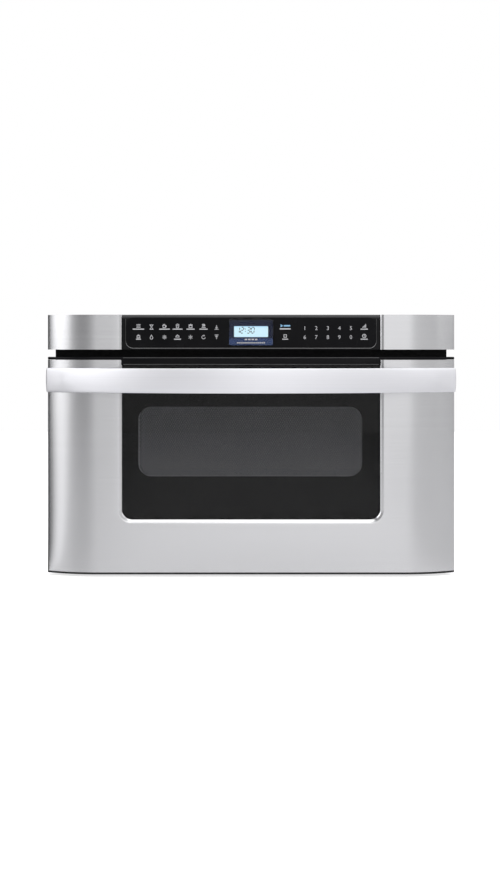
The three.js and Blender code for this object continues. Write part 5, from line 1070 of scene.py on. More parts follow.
def face_slab(name, z, edge, finish, replaced):
    """A slab with the face's plan: a closed section with rounded front edges, carried along the plan.

    The section runs from the back at the bottom, round the lower front edge by a quarter circle, up,
    round the upper one, and to the back at the top. The back lies on the drawer's back plane.
    """
    run = wing_run(FIRST_STEP)
    s = np.concatenate([-run[::-1], [0.0], run])
    turn = np.linspace(0, math.pi / 2, 5)
    inset = np.concatenate([edge * (1 - np.sin(turn)), edge * (1 - np.cos(turn))])
    height = np.concatenate([z[0] + edge * (1 - np.cos(turn)), z[1] - edge * (1 - np.sin(turn))])
    x, y = face_plan(s[:, None], inset[None, :])
    y = np.minimum(y, Y_DOOR_BACK)
    front = np.stack([x, y, np.broadcast_to(height, x.shape)], -1)
    back_x = np.clip(x[:, :1], -(X_FACE - 2 * edge), X_FACE - 2 * edge)
    lower = np.stack([back_x, np.full_like(back_x, Y_DOOR_BACK), np.full_like(back_x, z[0])], -1)
    upper = np.stack([back_x, np.full_like(back_x, Y_DOOR_BACK), np.full_like(back_x, z[1])], -1)
    points = np.concatenate([lower, front, upper], 1)
    mesh_object(name, points, loop_faces(*points.shape[:2]), finish, "drawer", replaced)


def slab(name, x, y, z, edge, corner, finish, body):
    """A slab across x and z between two depths, with rounded front edges and round corners.

    Each loop is the slab's outline: at the back, then forwards, and in round the front edge by a
    quarter circle.
    """
    turn = np.linspace(0, math.pi / 2, 5)
    loops = []
    for inset, depth in [(0.0, y[1]), *zip(edge * (1 - np.cos(turn)), y[0] + edge * (1 - np.sin(turn)))]:
        spans = ((part[0] + inset, part[1] - inset) for part in (x, z))
        loops.append(at_depth(rounded_outline(*spans, corner - inset, 9), depth))
    mesh_object(name, np.stack(loops), loop_faces(len(loops), len(loops[0])), finish, body, smooth_angle=50)


class TRIM_OT_microwave_drawer(bpy.types.Operator):
    """Black cap with its skirt over the glass and painted highlight lines on it, and the trim under the
    drawer
    """

    bl_idname = "microwave_drawer.trims"
    bl_label = "Cap and trim"

    def execute(self, context):
        top = Z_CAP[1] - CAP_LOWERED
        face_slab("top_cap", (Z_SKIN[1] + FIT, top), CAP_EDGE, "gloss_black", ["drawer_top_cap"])
        half = X_OPENING - FIT
        foot = Z_CAP[0] - SKIRT_DROP
        slab(
            "cap_skirt", (-half, half), (Y_FACE, Y_FACE + SKIRT_DEPTH), (foot, Z_SKIN[1] + SKIRT_TUCK),
            SKIRT_EDGE, SKIRT_CORNER, "gloss_black", "drawer",
        )
        # Painted highlights: pale lines over the skirt's foot and under the cap's top
        edges = Heap()
        for z in (foot + LINE_OVER_FOOT, top - LINE_UNDER_TOP):
            edges.bar(0, z, half - LINE_ENDS, HIGHLIGHT_LINE, Y_FACE)
        edges.build("cap_edge_highlights", "painted_edge_highlight", "drawer")
        trim = (Z_TRIM[0] + TRIM_RAISED, Z_TRIM[1])
        face_slab("bottom_trim", trim, TRIM_EDGE, "black_plastic", ["drawer_bottom_trim"])
        return {"FINISHED"}


# ---- Handle ----
HANDLE_CROWN = 1.0 * MM
HANDLE_EDGE = 0.6 * MM
HANDLE_CORNER = 3.2 * MM
# The higher, the closer to its edges the band turns over
EDGE_POWER = 14
# At its edges the band's back comes forward by this share of the thickness, and it stays this thick
BACK_SHARE = 0.22
THINNEST = 0.3 * MM
# How far before the bent face the wide arc ends, and the clearance and the least depth behind the band
ARC_END = 2.0 * MM
CLEARANCE = 1.6 * FIT
LEAST_DEPTH = 0.6 * MM
SECTION_POINTS = 41


class HANDLE_OT_microwave_drawer(bpy.types.Operator):
    """Bowed handle band with crowned face and rounded edges"""

    bl_idname = "microwave_drawer.handle"
    bl_label = "Handle"

    def execute(self, context):
        x, y, nx, ny = self.outer_line()
        thickness = self.room(x, y, nx, ny)
        t, h = self.section()
        across = h[None, :] / (0.5 * (HANDLE_Z[1] - HANDLE_Z[0]))
        edge = 1.0 - (np.maximum(1 - np.abs(across) ** EDGE_POWER, 0)) ** 0.5
        front = HANDLE_CROWN * across ** 2 + HANDLE_EDGE * edge
        back = np.maximum(thickness[:, None] * (1 - BACK_SHARE * edge), front + THINNEST)
        depth = front * (1 - t) + back * t
        px = x[:, None] - nx[:, None] * depth
        py = y[:, None] - ny[:, None] * depth
        middle = (HANDLE_Z[0] + HANDLE_Z[1]) / 2
        pz = np.broadcast_to(middle + h[None, :], px.shape)
        points = np.stack([px, py, pz], -1)
        mesh_object("handle_band", points, loop_faces(*px.shape), "handle_steel", "drawer", ["handle"], 40)
        return {"FINISHED"}

    def outer_line(self):
        """The band's front line from above: a wide arc, two small corner arcs and straight returns.

        The wide arc's radius comes from its half chord c and its depth d as (c*c + d*d) / 2d. Gives
        x, y and the outward normal.
        """
        corner = HANDLE_CORNER
        nose = Y_HANDLE[0]
        x_bend_end = X_FLAT + BEND_RADIUS * math.sin(BEND_ANGLE)
        sagitta = float(face_front(np.array(x_bend_end))) - ARC_END - nose
        radius = (X_HANDLE ** 2 + sagitta ** 2) / (2 * sagitta)
        centre = nose + radius
        inner = X_HANDLE - corner
        reach = math.asin(inner / (radius - corner))
        y_small = centre - (radius - corner) * math.cos(reach)
        wide = np.linspace(0, reach, 70)
        small = np.linspace(reach, math.pi / 2, 12)[1:]
        back = np.linspace(0, 1, 5)[1:]
        x = np.concatenate([radius * np.sin(wide), inner + corner * np.sin(small), np.full(4, X_HANDLE)])
        y = np.concatenate([centre - radius * np.cos(wide), y_small - corner * np.cos(small),
                            y_small + back * (Y_HANDLE[1] - y_small)])
        turn = np.concatenate([wide, small, np.full(4, math.pi / 2)])
        nx, ny = np.sin(turn), -np.cos(turn)
        return (np.concatenate([-x[:0:-1], x]), np.concatenate([y[:0:-1], y]),
                np.concatenate([-nx[:0:-1], nx]), np.concatenate([ny[:0:-1], ny]))

    def room(self, x, y, nx, ny):
        """The band's thickness: its full one, or less where the face is closer behind it."""
        tries = np.linspace(LEAST_DEPTH, HANDLE_THICKNESS, 260)
        px = x[:, None] - nx[:, None] * tries
        py = y[:, None] - ny[:, None] * tries
        clear = np.abs(px) > X_FACE + FIT
        clear |= py < face_front(px) - CLEARANCE
        good = np.cumprod(clear, 1).sum(1)
        found = tries[np.clip(good - 1, 0, len(tries) - 1)]
        even = np.ones(7) / 7
        return np.minimum(found, np.convolve(np.pad(found, 3, mode="edge"), even, "valid"))

    def section(self):
        """Round the band's section: 0 on the front and 1 on the back, and the height at each point."""
        half = 0.5 * (HANDLE_Z[1] - HANDLE_Z[0])
        rise = half * np.sin(np.linspace(-math.pi / 2, math.pi / 2, SECTION_POINTS))
        t = np.repeat([0.0, 1.0], SECTION_POINTS)
        return t, np.concatenate([rise, rise[::-1]])


# ---- Door glass ----
def perforated_sheet(x, z, y, pitch, radius):
    """Sheet with a hexagonal field of six-sided holes: each cell is a hexagon less a smaller one.

    A cell's outer corners are at the pitch divided by the square root of 3 from its middle, and its
    hole's corners at the hole's radius. Front rings, back rings and hole walls are made for all the
    cells at once, and a side with no cell beyond it gets a wall. Gives points and faces.
    """
    row = pitch * math.sqrt(3) / 2
    columns = int((x[1] - x[0] - pitch) / pitch)
    rows = int((z[1] - z[0] - pitch) / row)
    c, r = (part.ravel() for part in np.meshgrid(np.arange(columns), np.arange(rows), indexing="ij"))
    cx = (c - (columns - 1) / 2 + 0.25 * (-1.0) ** r) * pitch + (x[0] + x[1]) / 2
    cz = (r - (rows - 1) / 2) * row + (z[0] + z[1]) / 2
    angle = np.arange(6) * math.pi / 3 + math.pi / 6
    rings = []
    outer = pitch / math.sqrt(3)
    for size, depth in ((outer, y[0]), (radius, y[0]), (radius, y[1]), (outer, y[1])):
        px = cx[:, None] + size * np.cos(angle)
        pz = cz[:, None] + size * np.sin(angle)
        rings.append(np.stack([px, np.full_like(px, depth), pz], -1))
    points = np.stack(rings, 1)
    cells = np.arange(len(cx))[:, None, None] * 24
    loop = np.arange(3)[None, :, None] * 6
    k = np.arange(6)[None, None, :]
    first = cells + loop + k
    after = cells + loop + (k + 1) % 6
    faces = np.stack([first, after, after + 6, first + 6], -1).reshape(-1, 4)
    even = 1 - r % 2
    one = np.ones_like(r)
    beside = c[:, None] + np.stack([even, even - 1, -one, even - 1, even, one], 1)
    above = r[:, None] + np.array([1, 1, 0, -1, -1, 0])
    cell, k = np.nonzero((beside < 0) | (beside >= columns) | (above < 0) | (above >= rows))
    corner, after = cell * 24 + k, cell * 24 + (k + 1) % 6
    walls = np.stack([corner + 18, after + 18, after, corner], -1)
    return points, np.concatenate([faces, walls]).tolist()


# The printed frame covers this much of the screen sheet on the left, right, below and above
WINDOW_MARGINS = (7.5 * MM, 10 * MM, 9.1 * MM, 10.5 * MM)
WINDOW_CORNER = 19 * MM
# The print's front and back behind the pane, how far in from the pane's edge it ends, and its corner
PRINT_LAYER = (0.05 * MM, 0.15 * MM)
PRINT_INSET = 1 * MM
PRINT_CORNER = 2 * MM


class GLASS_OT_microwave_drawer(bpy.types.Operator):
    """Black print behind the door glass and the perforated window screen"""

    bl_idname = "microwave_drawer.glass"
    bl_label = "Door glass"

    def execute(self, context):
        sizes = context.scene.drawer_sizes
        low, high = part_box("drawer_glass")
        frame_low, frame_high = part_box("window_screen")
        left, right, bottom, top = WINDOW_MARGINS
        window_x = (frame_low[0] + left, frame_high[0] - right)
        window_z = (frame_low[2] + bottom, frame_high[2] - top)
        y = tuple(high[1] + depth for depth in PRINT_LAYER)
        outer_x, outer_z = ((low[axis] + PRINT_INSET, high[axis] - PRINT_INSET) for axis in (0, 2))
        outer = rounded_outline(outer_x, outer_z, PRINT_CORNER)
        inner = rounded_outline(window_x, window_z, WINDOW_CORNER)
        ring_plate("glass_border", outer, inner, y, "glass_print", "drawer")
        points, faces = perforated_sheet(
            (frame_low[0], frame_high[0]), (frame_low[2], frame_high[2]), (frame_low[1], frame_high[1]),
            sizes.hole_pitch, sizes.hole_radius,
        )
        mesh_object("screen_mesh", points, faces, "screen_steel", "drawer", ["window_screen"])
        return {"FINISHED"}


def rounded_outline(x, z, corner, per_corner=12):
    """A rounded rectangle's outline as one loop of x and z: four quarter circles and straight runs."""
    angle = np.linspace(0, math.pi / 2, per_corner)
    px, pz = [], []
    for quarter, (right, up) in enumerate(((1, 1), (0, 1), (0, 0), (1, 0))):
        around = angle + quarter * math.pi / 2
        px.append((x[1] - corner if right else x[0] + corner) + corner * np.cos(around))
        pz.append((z[1] - corner if up else z[0] + corner) + corner * np.sin(around))
    return np.stack([np.concatenate(px), np.concatenate(pz)])


def at_depth(outline, depth):
    """Points of an outline of x and z, all at one depth."""
    return np.stack([outline[0], np.full_like(outline[0], depth), outline[1]], -1)


def ring_plate(name, outer, inner, y, finish, body, edge=0.0, replaced=()):
    """A flat plate with a hole.

    Loops go round the section: from the back of the hole forwards, out over the front, round the edge
    and back. An outline goes in by being scaled about its middle.
    """
    turn = np.linspace(0, math.pi / 2, 5) if edge else np.array([math.pi / 2])
    middle = (outer.max(1) + outer.min(1))[:, None] / 2
    half = (outer.max(1) - outer.min(1))[:, None] / 2
    loops = [at_depth(inner, y[1]), at_depth(inner, y[0])]
    for inset, back in [*zip(edge * (1 - np.sin(turn)), edge * (1 - np.cos(turn))), (0.0, y[1] - y[0])]:
        loops.append(at_depth(middle + (outer - middle) * (1 - inset / half), y[0] + back))
    faces = grid_faces(len(loops), len(loops[0]), close_rows=True, close_columns=True)
    mesh_object(name, np.stack(loops), faces, finish, body, replaced, 50)


# ---- Control strip ----
class Heap:
    """Collects the points and faces of many small shapes into one mesh."""

    def __init__(self):
        self.points = []
        self.faces = []
        self.count = 0

    def add(self, points, faces):
        """Adds one shape."""
        points = points.reshape(-1, 3)
        self.points.append(points)
        self.faces.extend([index + self.count for index in face] for face in faces)
        self.count += len(points)

    def stroke(self, line, width, front, closed=False):
        """Adds a line of print on a front."""
        self.add(*ribbon(line, width, (front - PRINT, front + PRINT), closed))

    def bar(self, x, z, half, width, front):
        """Adds a level bar of print, half of its length to each side of x."""
        self.stroke([(x - half, z), (x + half, z)], width, front)

    def build(self, name, finish, body):
        """Makes one piece of all that was added."""
        mesh_object(name, np.concatenate(self.points), self.faces, finish, body)


def ribbon(line, width, y, closed=False):
    """A flat band along a line of x and z, standing between two depths.

    Each point moves half the width along the line's normal there, made longer at a corner by one over
    the cosine of half its turn. Gives points and faces.
    """
    line = np.asarray(line, float)
    ahead = np.roll(line, -1, 0) - line
    behind = line - np.roll(line, 1, 0)
    if not closed:
        ahead[-1] = behind[-1]
        behind[0] = ahead[0]
    ahead /= np.linalg.norm(ahead, axis=1)[:, None]
    behind /= np.linalg.norm(behind, axis=1)[:, None]
    along = ahead + behind
    along /= np.linalg.norm(along, axis=1)[:, None]
    stretch = np.clip((along * ahead).sum(1), 0.4, 1)[:, None]
    normal = np.stack([-along[:, 1], along[:, 0]], 1) * (width / 2) / stretch
    rows = []
    for side, depth in ((1, y[0]), (-1, y[0]), (-1, y[1]), (1, y[1])):
        edge = line + side * normal
        rows.append(at_depth(edge.T, depth))
    points = np.stack(rows, 1)
    faces = grid_faces(len(line), 4, close_rows=closed, close_columns=True)
    if not closed:
        faces += [[0, 1, 2, 3], list(range(4 * len(line) - 4, 4 * len(line)))]
    return points, faces


def arc(cx, cz, radius, start, end, count=14):
    """Points of a circular arc between two angles in degrees."""
    angle = np.radians(np.linspace(start, end, count))
    return np.stack([cx + radius * np.cos(angle), cz + radius * np.sin(angle)], 1)


def ray(angle, inner, outer):
    """A straight stroke away from the middle at an angle in degrees."""
    way = np.array([math.cos(math.radians(angle)), math.sin(math.radians(angle))])
    return np.array([way * inner, way * outer])


def steam(x):
    """A wavy stroke upwards: a sine of the height."""
    z = np.linspace(-0.3, 1, 9)
    return np.stack([x + 0.15 * np.sin(z * 5), z], 1)


def arrow(way):
    """An arrow that points at a line: out of the cabinet (-1) or into it (1)."""
    head = [(-0.55, 0.1 * way), (0, 0.65 * way), (0.55, 0.1 * way)]
    return [[(0, -0.9 * way), (0, 0.6 * way)], head, [(-0.9, way), (0.9, way)]], []


# Key symbols in a square from -1 to 1: open strokes, then closed ones, which repeat no point
SYMBOLS = {
    "sliders": ([[(-1, z), (1, z)] for z in (0.7, 0, -0.7)]
                + [[(x, z - 0.25), (x, z + 0.25)] for x, z in ((-0.4, 0.7), (0.45, 0), (-0.1, -0.7))], []),
    "hourglass": ([], [[(-0.7, 1), (0.7, 1), (-0.7, -1), (0.7, -1)]]),
    "cup": ([arc(0.5, -0.2, 0.4, 80, -80), [(-0.45, 0.65), (-0.45, 1)], [(0.1, 0.65), (0.1, 1)]],
            [[(-0.9, 0.35), (-0.7, -0.9), (0.35, -0.9), (0.55, 0.35)]]),
    "popcorn": ([], [[(-0.65, 0.1), (-0.45, -1), (0.45, -1), (0.65, 0.1)]]
                + [arc(x, z, 0.3, 0, 330, 10) for x, z in ((-0.4, 0.5), (0.4, 0.5), (0, 0.75))]),
    "pot": ([[(-1, 0.55), (1, 0.55)], [(-0.2, 0.85), (0.2, 0.85)]],
            [[(-0.75, 0.25), (-0.75, -0.9), (0.75, -0.9), (0.75, 0.25)]]),
    "plate": ([steam(x) for x in (-0.5, 0, 0.5)] + [[(-1, -0.75), (1, -0.75)]], []),
    "out": arrow(-1),
    "in": arrow(1),
    "padlock": ([arc(0, 0.1, 0.45, 0, 180)], [[(-0.7, 0.1), (-0.7, -0.95), (0.7, -0.95), (0.7, 0.1)]]),
    "drop": ([], [np.concatenate([arc(0, -0.35, 0.6, 150, 390, 16), [(0.0, 1.0)]])]),
    "sun": ([ray(angle, 0.65, 1) for angle in range(0, 360, 45)], [arc(0, 0, 0.38, 0, 330, 12)]),
    "dome": ([[(-1, -0.55), (1, -0.55)], arc(0, -0.45, 0.8, 0, 180), [(0, 0.4), (0, 0.75)]], []),
    "flake": ([ray(angle, -1, 1) for angle in (30, 90, 150)]
              + [ray(angle, 0, 0.45) for angle in (0, 60, 120)], []),
    "circle_arrow": ([arc(0, 0, 0.8, 60, 350, 18), [(0.05, 0.35), (0.45, 0.75), (0.0, 1.05)]], []),
    "clock": ([[(0, 0.55), (0, 0), (0.4, -0.2)]], [arc(0, 0, 0.9, 0, 345, 20)]),
    "bars": ([[(x, -0.9), (x, top)]
              for x, top in ((-0.75, -0.4), (-0.25, 0.0), (0.25, 0.45), (0.75, 0.95))], []),
    "square": ([], [[(-0.65, -0.65), (0.65, -0.65), (0.65, 0.65), (-0.65, 0.65)]]),
}

# Each key: its symbol, and half the length in millimetres of the bar under it (0 for none)
KEY_LABELS = (
    (("sliders", 8.4), ("hourglass", 0), ("cup", 7.8), ("popcorn", 7.2), ("pot", 6.0), ("plate", 6.0),
     ("out", 0)),
    (("padlock", 3.6), ("drop", 0), ("sun", 0), ("dome", 5.2), ("flake", 0), ("circle_arrow", 0),
     ("in", 0)),
)
KEY_ROWS = (368.6 * MM, 353.8 * MM)
FIRST_KEY = -166.0 * MM
KEY_PITCH = 19.2 * MM
START_X = 50.3 * MM
DIGIT_X = 79.2 * MM
DIGIT_PITCH = 17.0 * MM
DIGIT_ROWS = (367.1 * MM, 353.8 * MM)
LAST_X = 166.8 * MM
# Keys that stand apart: symbol, place, row and bar
OTHER_LABELS = (("square", START_X, 1, 4.4), ("bars", LAST_X, 0, 5.4), ("clock", LAST_X, 1, 5.2))
# Half width of the painted highlight line round the touch plate
OUTLINE_X = 185.0 * MM
PLATE_CORNER = 11 * MM
PLATE_EDGE = 0.55 * MM
LENS_CORNER = 2 * MM
# Symbols with a bar under them and alone: rise over the key's middle, half size and stroke's width
WITH_BAR = (1.7 * MM, 2.9 * MM, 0.95 * MM)
ALONE = (0, 3.2 * MM, 0.85 * MM)
BAR_DROP = 3.0 * MM
BAR_WIDTH = 1.5 * MM
# The start key's triangle and bars: place aside and up from the key, then half length and width
START_TRIANGLE = (-5.2 * MM, 2.0 * MM, 2.3 * MM)
START_BAR = (2.6 * MM, 2.0 * MM, 4.8 * MM, 2.2 * MM)
START_NAME = (-2.6 * MM, 8.0 * MM, 1.9 * MM)
# Height of the painted highlight line above the frame's foot, and how far below the frame's top it ends
OUTLINE_FOOT = 2.0 * MM
OUTLINE_TOP = 6 * MM
# The built-in font's digits are this share of its size high
DIGIT_SHARE = 0.7


def put_label(heap, symbol, x, z, bar):
    """Adds a key's symbol at a place on the touch plate: alone in the middle, or smaller over its bar."""
    rise, size, width = WITH_BAR if bar else ALONE
    for lines, closed in zip(SYMBOLS[symbol], (False, True)):
        for line in lines:
            heap.stroke(np.asarray(line) * size + (x, z + rise), width, Y_TOUCH[0], closed)
    if bar:
        heap.bar(x, z - BAR_DROP, bar * MM, BAR_WIDTH, Y_TOUCH[0])


def put_triangle(heap, centre, size):
    """Adds one filled triangle that points to the right."""
    corners = np.array([(-0.7, 1.0), (1.0, 0.0), (-0.7, -1.0)]) * size + centre
    loops = [at_depth(corners.T, y) for y in (Y_TOUCH[0] - PRINT, Y_TOUCH[0] + PRINT)]
    heap.add(np.stack(loops), loop_faces(2, 3))


def digit_shapes(height):
    """The ten digits as solid meshes from the built-in font, each with its lower left at the origin."""
    shapes = []
    for digit in "1234567890":
        text = bpy.data.curves.new("digit", "FONT")
        text.body = digit
        text.size = height / DIGIT_SHARE
        text.extrude = PRINT
        text.resolution_u = 3
        holder = bpy.data.objects.new("digit", text)
        data = bpy.data.meshes.new_from_object(holder)
        points = np.zeros(len(data.vertices) * 3)
        data.vertices.foreach_get("co", points)
        shapes.append((points.reshape(-1, 3), [list(face.vertices) for face in data.polygons]))
        bpy.data.objects.remove(holder)
        bpy.data.meshes.remove(data)
    return shapes


class CONTROL_OT_microwave_drawer(bpy.types.Operator):
    """Touch plate with its printed symbols and digits, and a painted highlight line round it"""

    bl_idname = "microwave_drawer.controls"
    bl_label = "Touch plate"

    def execute(self, context):
        low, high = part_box("touch_plate")
        lens_low, lens_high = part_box("display_lens")
        outer = rounded_outline((low[0], high[0]), (low[2], high[2]), PLATE_CORNER)
        lens_x, lens_z = ((lens_low[axis] - FIT, lens_high[axis] + FIT) for axis in (0, 2))
        lens = rounded_outline(lens_x, lens_z, LENS_CORNER)
        ring_plate("touch_panel", outer, lens, Y_TOUCH, "touch_film", "chassis", PLATE_EDGE, ["touch_plate"])
        self.outline()
        prints = Heap()
        for row, labels in zip(KEY_ROWS, KEY_LABELS):
            for column, (symbol, bar) in enumerate(labels):
                put_label(prints, symbol, FIRST_KEY + column * KEY_PITCH, row, bar)
        for symbol, x, row, bar in OTHER_LABELS:
            put_label(prints, symbol, x, KEY_ROWS[row], bar)
        up, half, width = START_NAME
        prints.bar(START_X, KEY_ROWS[0] + up, half, width, Y_TOUCH[0])
        prints.build("key_symbols", "key_print", "chassis")
        start = Heap()
        aside, up, size = START_TRIANGLE
        put_triangle(start, (START_X + aside, KEY_ROWS[0] + up), size)
        aside, up, half, width = START_BAR
        start.bar(START_X + aside, KEY_ROWS[0] + up, half, width, Y_TOUCH[0])
        start.build("start_symbol", "start_print", "chassis")
        digits = Heap()
        shapes = digit_shapes(context.scene.drawer_sizes.digit_height)
        for index, (points, faces) in enumerate(shapes):
            row, column = divmod(index, 5)
            middle = (points[:, :2].max(0) + points[:, :2].min(0)) / 2
            x = DIGIT_X + column * DIGIT_PITCH + points[:, 0] - middle[0]
            z = DIGIT_ROWS[row] + points[:, 1] - middle[1]
            digits.add(np.stack([x, Y_TOUCH[0] - points[:, 2], z], 1), faces)
        digits.build("key_digits", "key_print", "chassis")
        return {"FINISHED"}

    def outline(self):
        """Painted highlight line on the frame down beside the touch plate, round under it and up the other
        side.
        """
        front = lo_hi("control_bezel", 1)[0]
        middle_z = Z_CONTROL[0] + OUTLINE_FOOT + PLATE_CORNER
        middle_x = OUTLINE_X - PLATE_CORNER
        left = arc(-middle_x, middle_z, PLATE_CORNER, 180, 270, 16)
        right = arc(middle_x, middle_z, PLATE_CORNER, 270, 360, 16)
        top = Z_CONTROL[1] - OUTLINE_TOP
        line = np.concatenate([[(-OUTLINE_X, top)], left, right, [(OUTLINE_X, top)]])
        outline = Heap()
        outline.stroke(line, HIGHLIGHT_LINE, front)
        outline.build("panel_edge_highlight", "outline_print", "chassis")


# Lit segments of each shown digit, in the order top, upper right, lower right, bottom, lower left,
# upper left, middle
SEGMENTS = {"1": (1, 2), "2": (0, 1, 3, 4, 6), "3": (0, 1, 2, 3, 6), "0": (0, 1, 2, 3, 4, 5)}
SEGMENT_CORNERS = ((0, 1), (1, 1), (1, 0.5), (1, 0), (0, 0), (0, 0.5))
SEGMENT_ENDS = ((0, 1), (1, 2), (2, 3), (3, 4), (4, 5), (5, 0), (5, 2))
# The clock's digits at their places, counted in digit pitches, and the colon between them
CLOCK = ((0, "1"), (1, "2"), (2.55, "3"), (3.55, "0"))
COLON_PLACE = 2.2
CLOCK_PITCH = 6.1 * MM
CLOCK_DIGIT = (4.2 * MM, 8.6 * MM)
CLOCK_BAR = 1.2 * MM
CLOCK_CORNER = (-21.8 * MM, 359.8 * MM)
CLOCK_LEAN = 0.12
CELL_X = 25.1 * MM
CELL_CORNER = 1.2 * MM
# The surround's corner, its upper margin, and its front and back behind the touch plate
SURROUND_CORNER = 1.7 * MM
SURROUND_TOP = 2.4 * MM
SURROUND_LAYER = (0.05 * MM, 0.17 * MM)
# Rows of dashes under the cell: how many, their run, height and width
DASH_ROWS = ((4, 20 * MM, 350.4 * MM, 2.0 * MM), (14, 42 * MM, 345.4 * MM, 1.7 * MM))


class DISPLAY_OT_microwave_drawer(bpy.types.Operator):
    """Navy surround behind the lens and the display's dark segments"""

    bl_idname = "microwave_drawer.display"
    bl_label = "Display"

    def execute(self, context):
        low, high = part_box("display_lens")
        outer_z = (low[2] + FIT, high[2] - SURROUND_TOP)
        outer = rounded_outline((low[0] + FIT, high[0] - FIT), outer_z, SURROUND_CORNER)
        cell = rounded_outline((-CELL_X, CELL_X), CELL_Z, CELL_CORNER)
        y = tuple(Y_TOUCH[1] + depth for depth in SURROUND_LAYER)
        ring_plate("display_surround", outer, cell, y, "display_navy", "chassis")
        marks = Heap()
        for count, run, z, width in DASH_ROWS:
            pitch = run / count
            for place in range(count):
                marks.bar((place - (count - 1) / 2) * pitch, z, 0.36 * pitch, width, Y_TOUCH[0])
        marks.build("display_marks", "key_print", "chassis")
        if context.scene.drawer_sizes.show_clock:
            self.clock()
        return {"FINISHED"}

    def clock(self):
        """Puts the segments as short bars that lean to the right with their height."""
        front = lo_hi("lcd_module", 1)[0]
        left, foot = CLOCK_CORNER
        heap = Heap()
        for place, shown in CLOCK:
            for part in SEGMENTS[shown]:
                a, b = (np.array(SEGMENT_CORNERS[end]) * CLOCK_DIGIT for end in SEGMENT_ENDS[part])
                inward = (b - a) / np.linalg.norm(b - a) * 0.7 * CLOCK_BAR
                line = np.array([a + inward, b - inward]) + (left + place * CLOCK_PITCH, foot)
                line[:, 0] += CLOCK_LEAN * (line[:, 1] - foot)
                heap.stroke(line, CLOCK_BAR, front)
        for share in (0.3, 0.7):
            z = foot + share * CLOCK_DIGIT[1]
            heap.bar(left + COLON_PLACE * CLOCK_PITCH, z, 0.5 * CLOCK_BAR, CLOCK_BAR, front)
        heap.build("display_digits", "display_digit", "chassis")


# ---- Screws ----
SCREW_POINTS = 32
SCREW_RISE = 2.2 * MM
FLANGE_SCREW = (3.0 * MM, 1.6 * MM)
CASE_SCREWS_Z = (50 * MM, 190 * MM, 336 * MM)
ROOF_SCREWS_X = 236 * MM
FLANGE_SCREWS_Z = (60 * MM, 190 * MM, 322 * MM)
# How far the case's screws sit from its front and back, and the flange's from its side and into its back
CASE_SCREWS_Y = (16 * MM, 14 * MM)
FLANGE_SCREWS_IN = (8 * MM, 1.2 * MM)
REAR_SCREWS = ((-262, 14), (262, 14), (-262, 180), (262, 180), (-262, 352), (262, 352), (0, 14), (0, 352))


def screw_shape(centre, axis, radius, height):
    """A pan-head screw's head: rings about its axis.

    The height over the base falls as a circle's does towards the rim; a cross of two slots is taken
    out of it where the distance to either slot's line is small. Gives points and faces.
    """
    around = np.linspace(0, 2 * math.pi, SCREW_POINTS, endpoint=False)
    share = np.array([0.0, 0.12, 0.22, 0.34, 0.46, 0.56, 0.72, 0.88, 1.0])
    u = share[:, None] * np.cos(around)
    v = share[:, None] * np.sin(around)
    rise = height * (0.45 + 0.55 * np.sqrt(1 - 0.96 * share[:, None] ** 2)) * np.ones_like(u)
    slot = (np.minimum(np.abs(u), np.abs(v)) < 0.13) & (share[:, None] < 0.5)
    rise = np.where(slot, rise - 0.6 * height, rise)
    u = np.concatenate([u, u[-1:], u[:1]]) * radius
    v = np.concatenate([v, v[-1:], v[:1]]) * radius
    rise = np.concatenate([rise, np.zeros((2, SCREW_POINTS))])
    out = np.zeros(3)
    out[abs(axis) - 1] = math.copysign(1, axis)
    first = np.roll(np.abs(out), 1)
    second = np.cross(out, first)
    points = centre + u[..., None] * first + v[..., None] * second + rise[..., None] * out
    return points, grid_faces(len(points), SCREW_POINTS, close_columns=True)


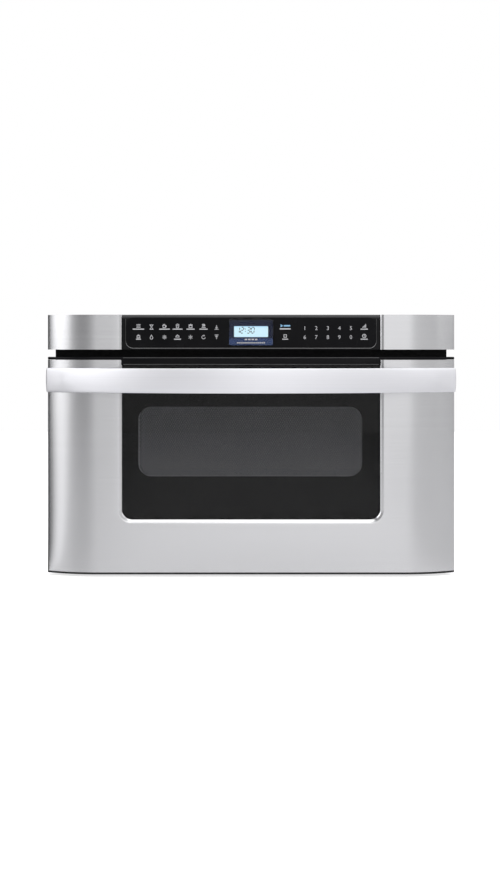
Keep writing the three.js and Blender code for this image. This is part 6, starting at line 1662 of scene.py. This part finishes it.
class SCREW_OT_microwave_drawer(bpy.types.Operator):
    """Screws of the case, the rear panel and the mounting flange"""

    bl_idname = "microwave_drawer.screws"
    bl_label = "Screws"

    def execute(self, context):
        radius = context.scene.drawer_sizes.screw_radius
        case_low, case_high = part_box("outer_case")
        _, panel_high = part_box("rear_panel")
        _, flange_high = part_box("front_frame")
        case, rear, flange = Heap(), Heap(), Heap()
        for side in (-1, 1):
            for y in (case_low[1] + CASE_SCREWS_Y[0], case_high[1] - CASE_SCREWS_Y[1]):
                for z in CASE_SCREWS_Z:
                    case.add(*screw_shape((side * case_high[0], y, z), side, radius, SCREW_RISE))
                case.add(*screw_shape((side * ROOF_SCREWS_X, y, case_high[2]), 3, radius, SCREW_RISE))
            for z in FLANGE_SCREWS_Z:
                x, y = (flange_high[axis] - FLANGE_SCREWS_IN[axis] for axis in (0, 1))
                flange.add(*screw_shape((side * x, y, z), -2, *FLANGE_SCREW))
        for x, z in REAR_SCREWS:
            rear.add(*screw_shape((x * MM, panel_high[1], z * MM), 2, radius, SCREW_RISE))
        case.build("case_screws", "bright_steel", "chassis")
        rear.build("rear_screws", "bright_steel", "chassis")
        flange.build("flange_screws", "black_screw", "chassis")
        return {"FINISHED"}


# ---- Panel in the sidebar ----
OPERATORS = (
    FINISH_OT_microwave_drawer,
    STAGE_OT_microwave_drawer,
    SKIN_OT_microwave_drawer,
    TRIM_OT_microwave_drawer,
    HANDLE_OT_microwave_drawer,
    GLASS_OT_microwave_drawer,
    CONTROL_OT_microwave_drawer,
    DISPLAY_OT_microwave_drawer,
    SCREW_OT_microwave_drawer,
)


class VIEW3D_PT_microwave_drawer(bpy.types.Panel):
    """Lists the drawer's pieces and what may be changed on them"""

    bl_idname = "VIEW3D_PT_microwave_drawer"
    bl_label = "Microwave drawer"
    bl_space_type = "VIEW_3D"
    bl_region_type = "UI"
    bl_category = "Microwave drawer"

    def draw(self, context):
        for group in (context.scene.drawer_finish, context.scene.drawer_sizes, context.scene.drawer_stage):
            box = self.layout.box()
            for key in group.bl_rna.properties.keys():
                if key not in ("rna_type", "name"):
                    box.prop(group, key)
        for operator in OPERATORS:
            self.layout.operator(operator.bl_idname)


GROUPS = (("drawer_finish", DrawerFinish), ("drawer_sizes", DrawerSizes), ("drawer_stage", StageLook))


def register():
    for _, group in GROUPS:
        bpy.utils.register_class(group)
    for operator in OPERATORS:
        bpy.utils.register_class(operator)
    bpy.utils.register_class(VIEW3D_PT_microwave_drawer)
    for name, group in GROUPS:
        setattr(bpy.types.Scene, name, PointerProperty(type=group))


def unregister():
    for name, _ in GROUPS:
        delattr(bpy.types.Scene, name)
    bpy.utils.unregister_class(VIEW3D_PT_microwave_drawer)
    for operator in reversed(OPERATORS):
        bpy.utils.unregister_class(operator)
    for _, group in GROUPS:
        bpy.utils.unregister_class(group)


def main():
    register()
    for operator in OPERATORS:
        family, action = operator.bl_idname.split(".")
        getattr(getattr(bpy.ops, family), action)()


if __name__ == "__main__":
    main()
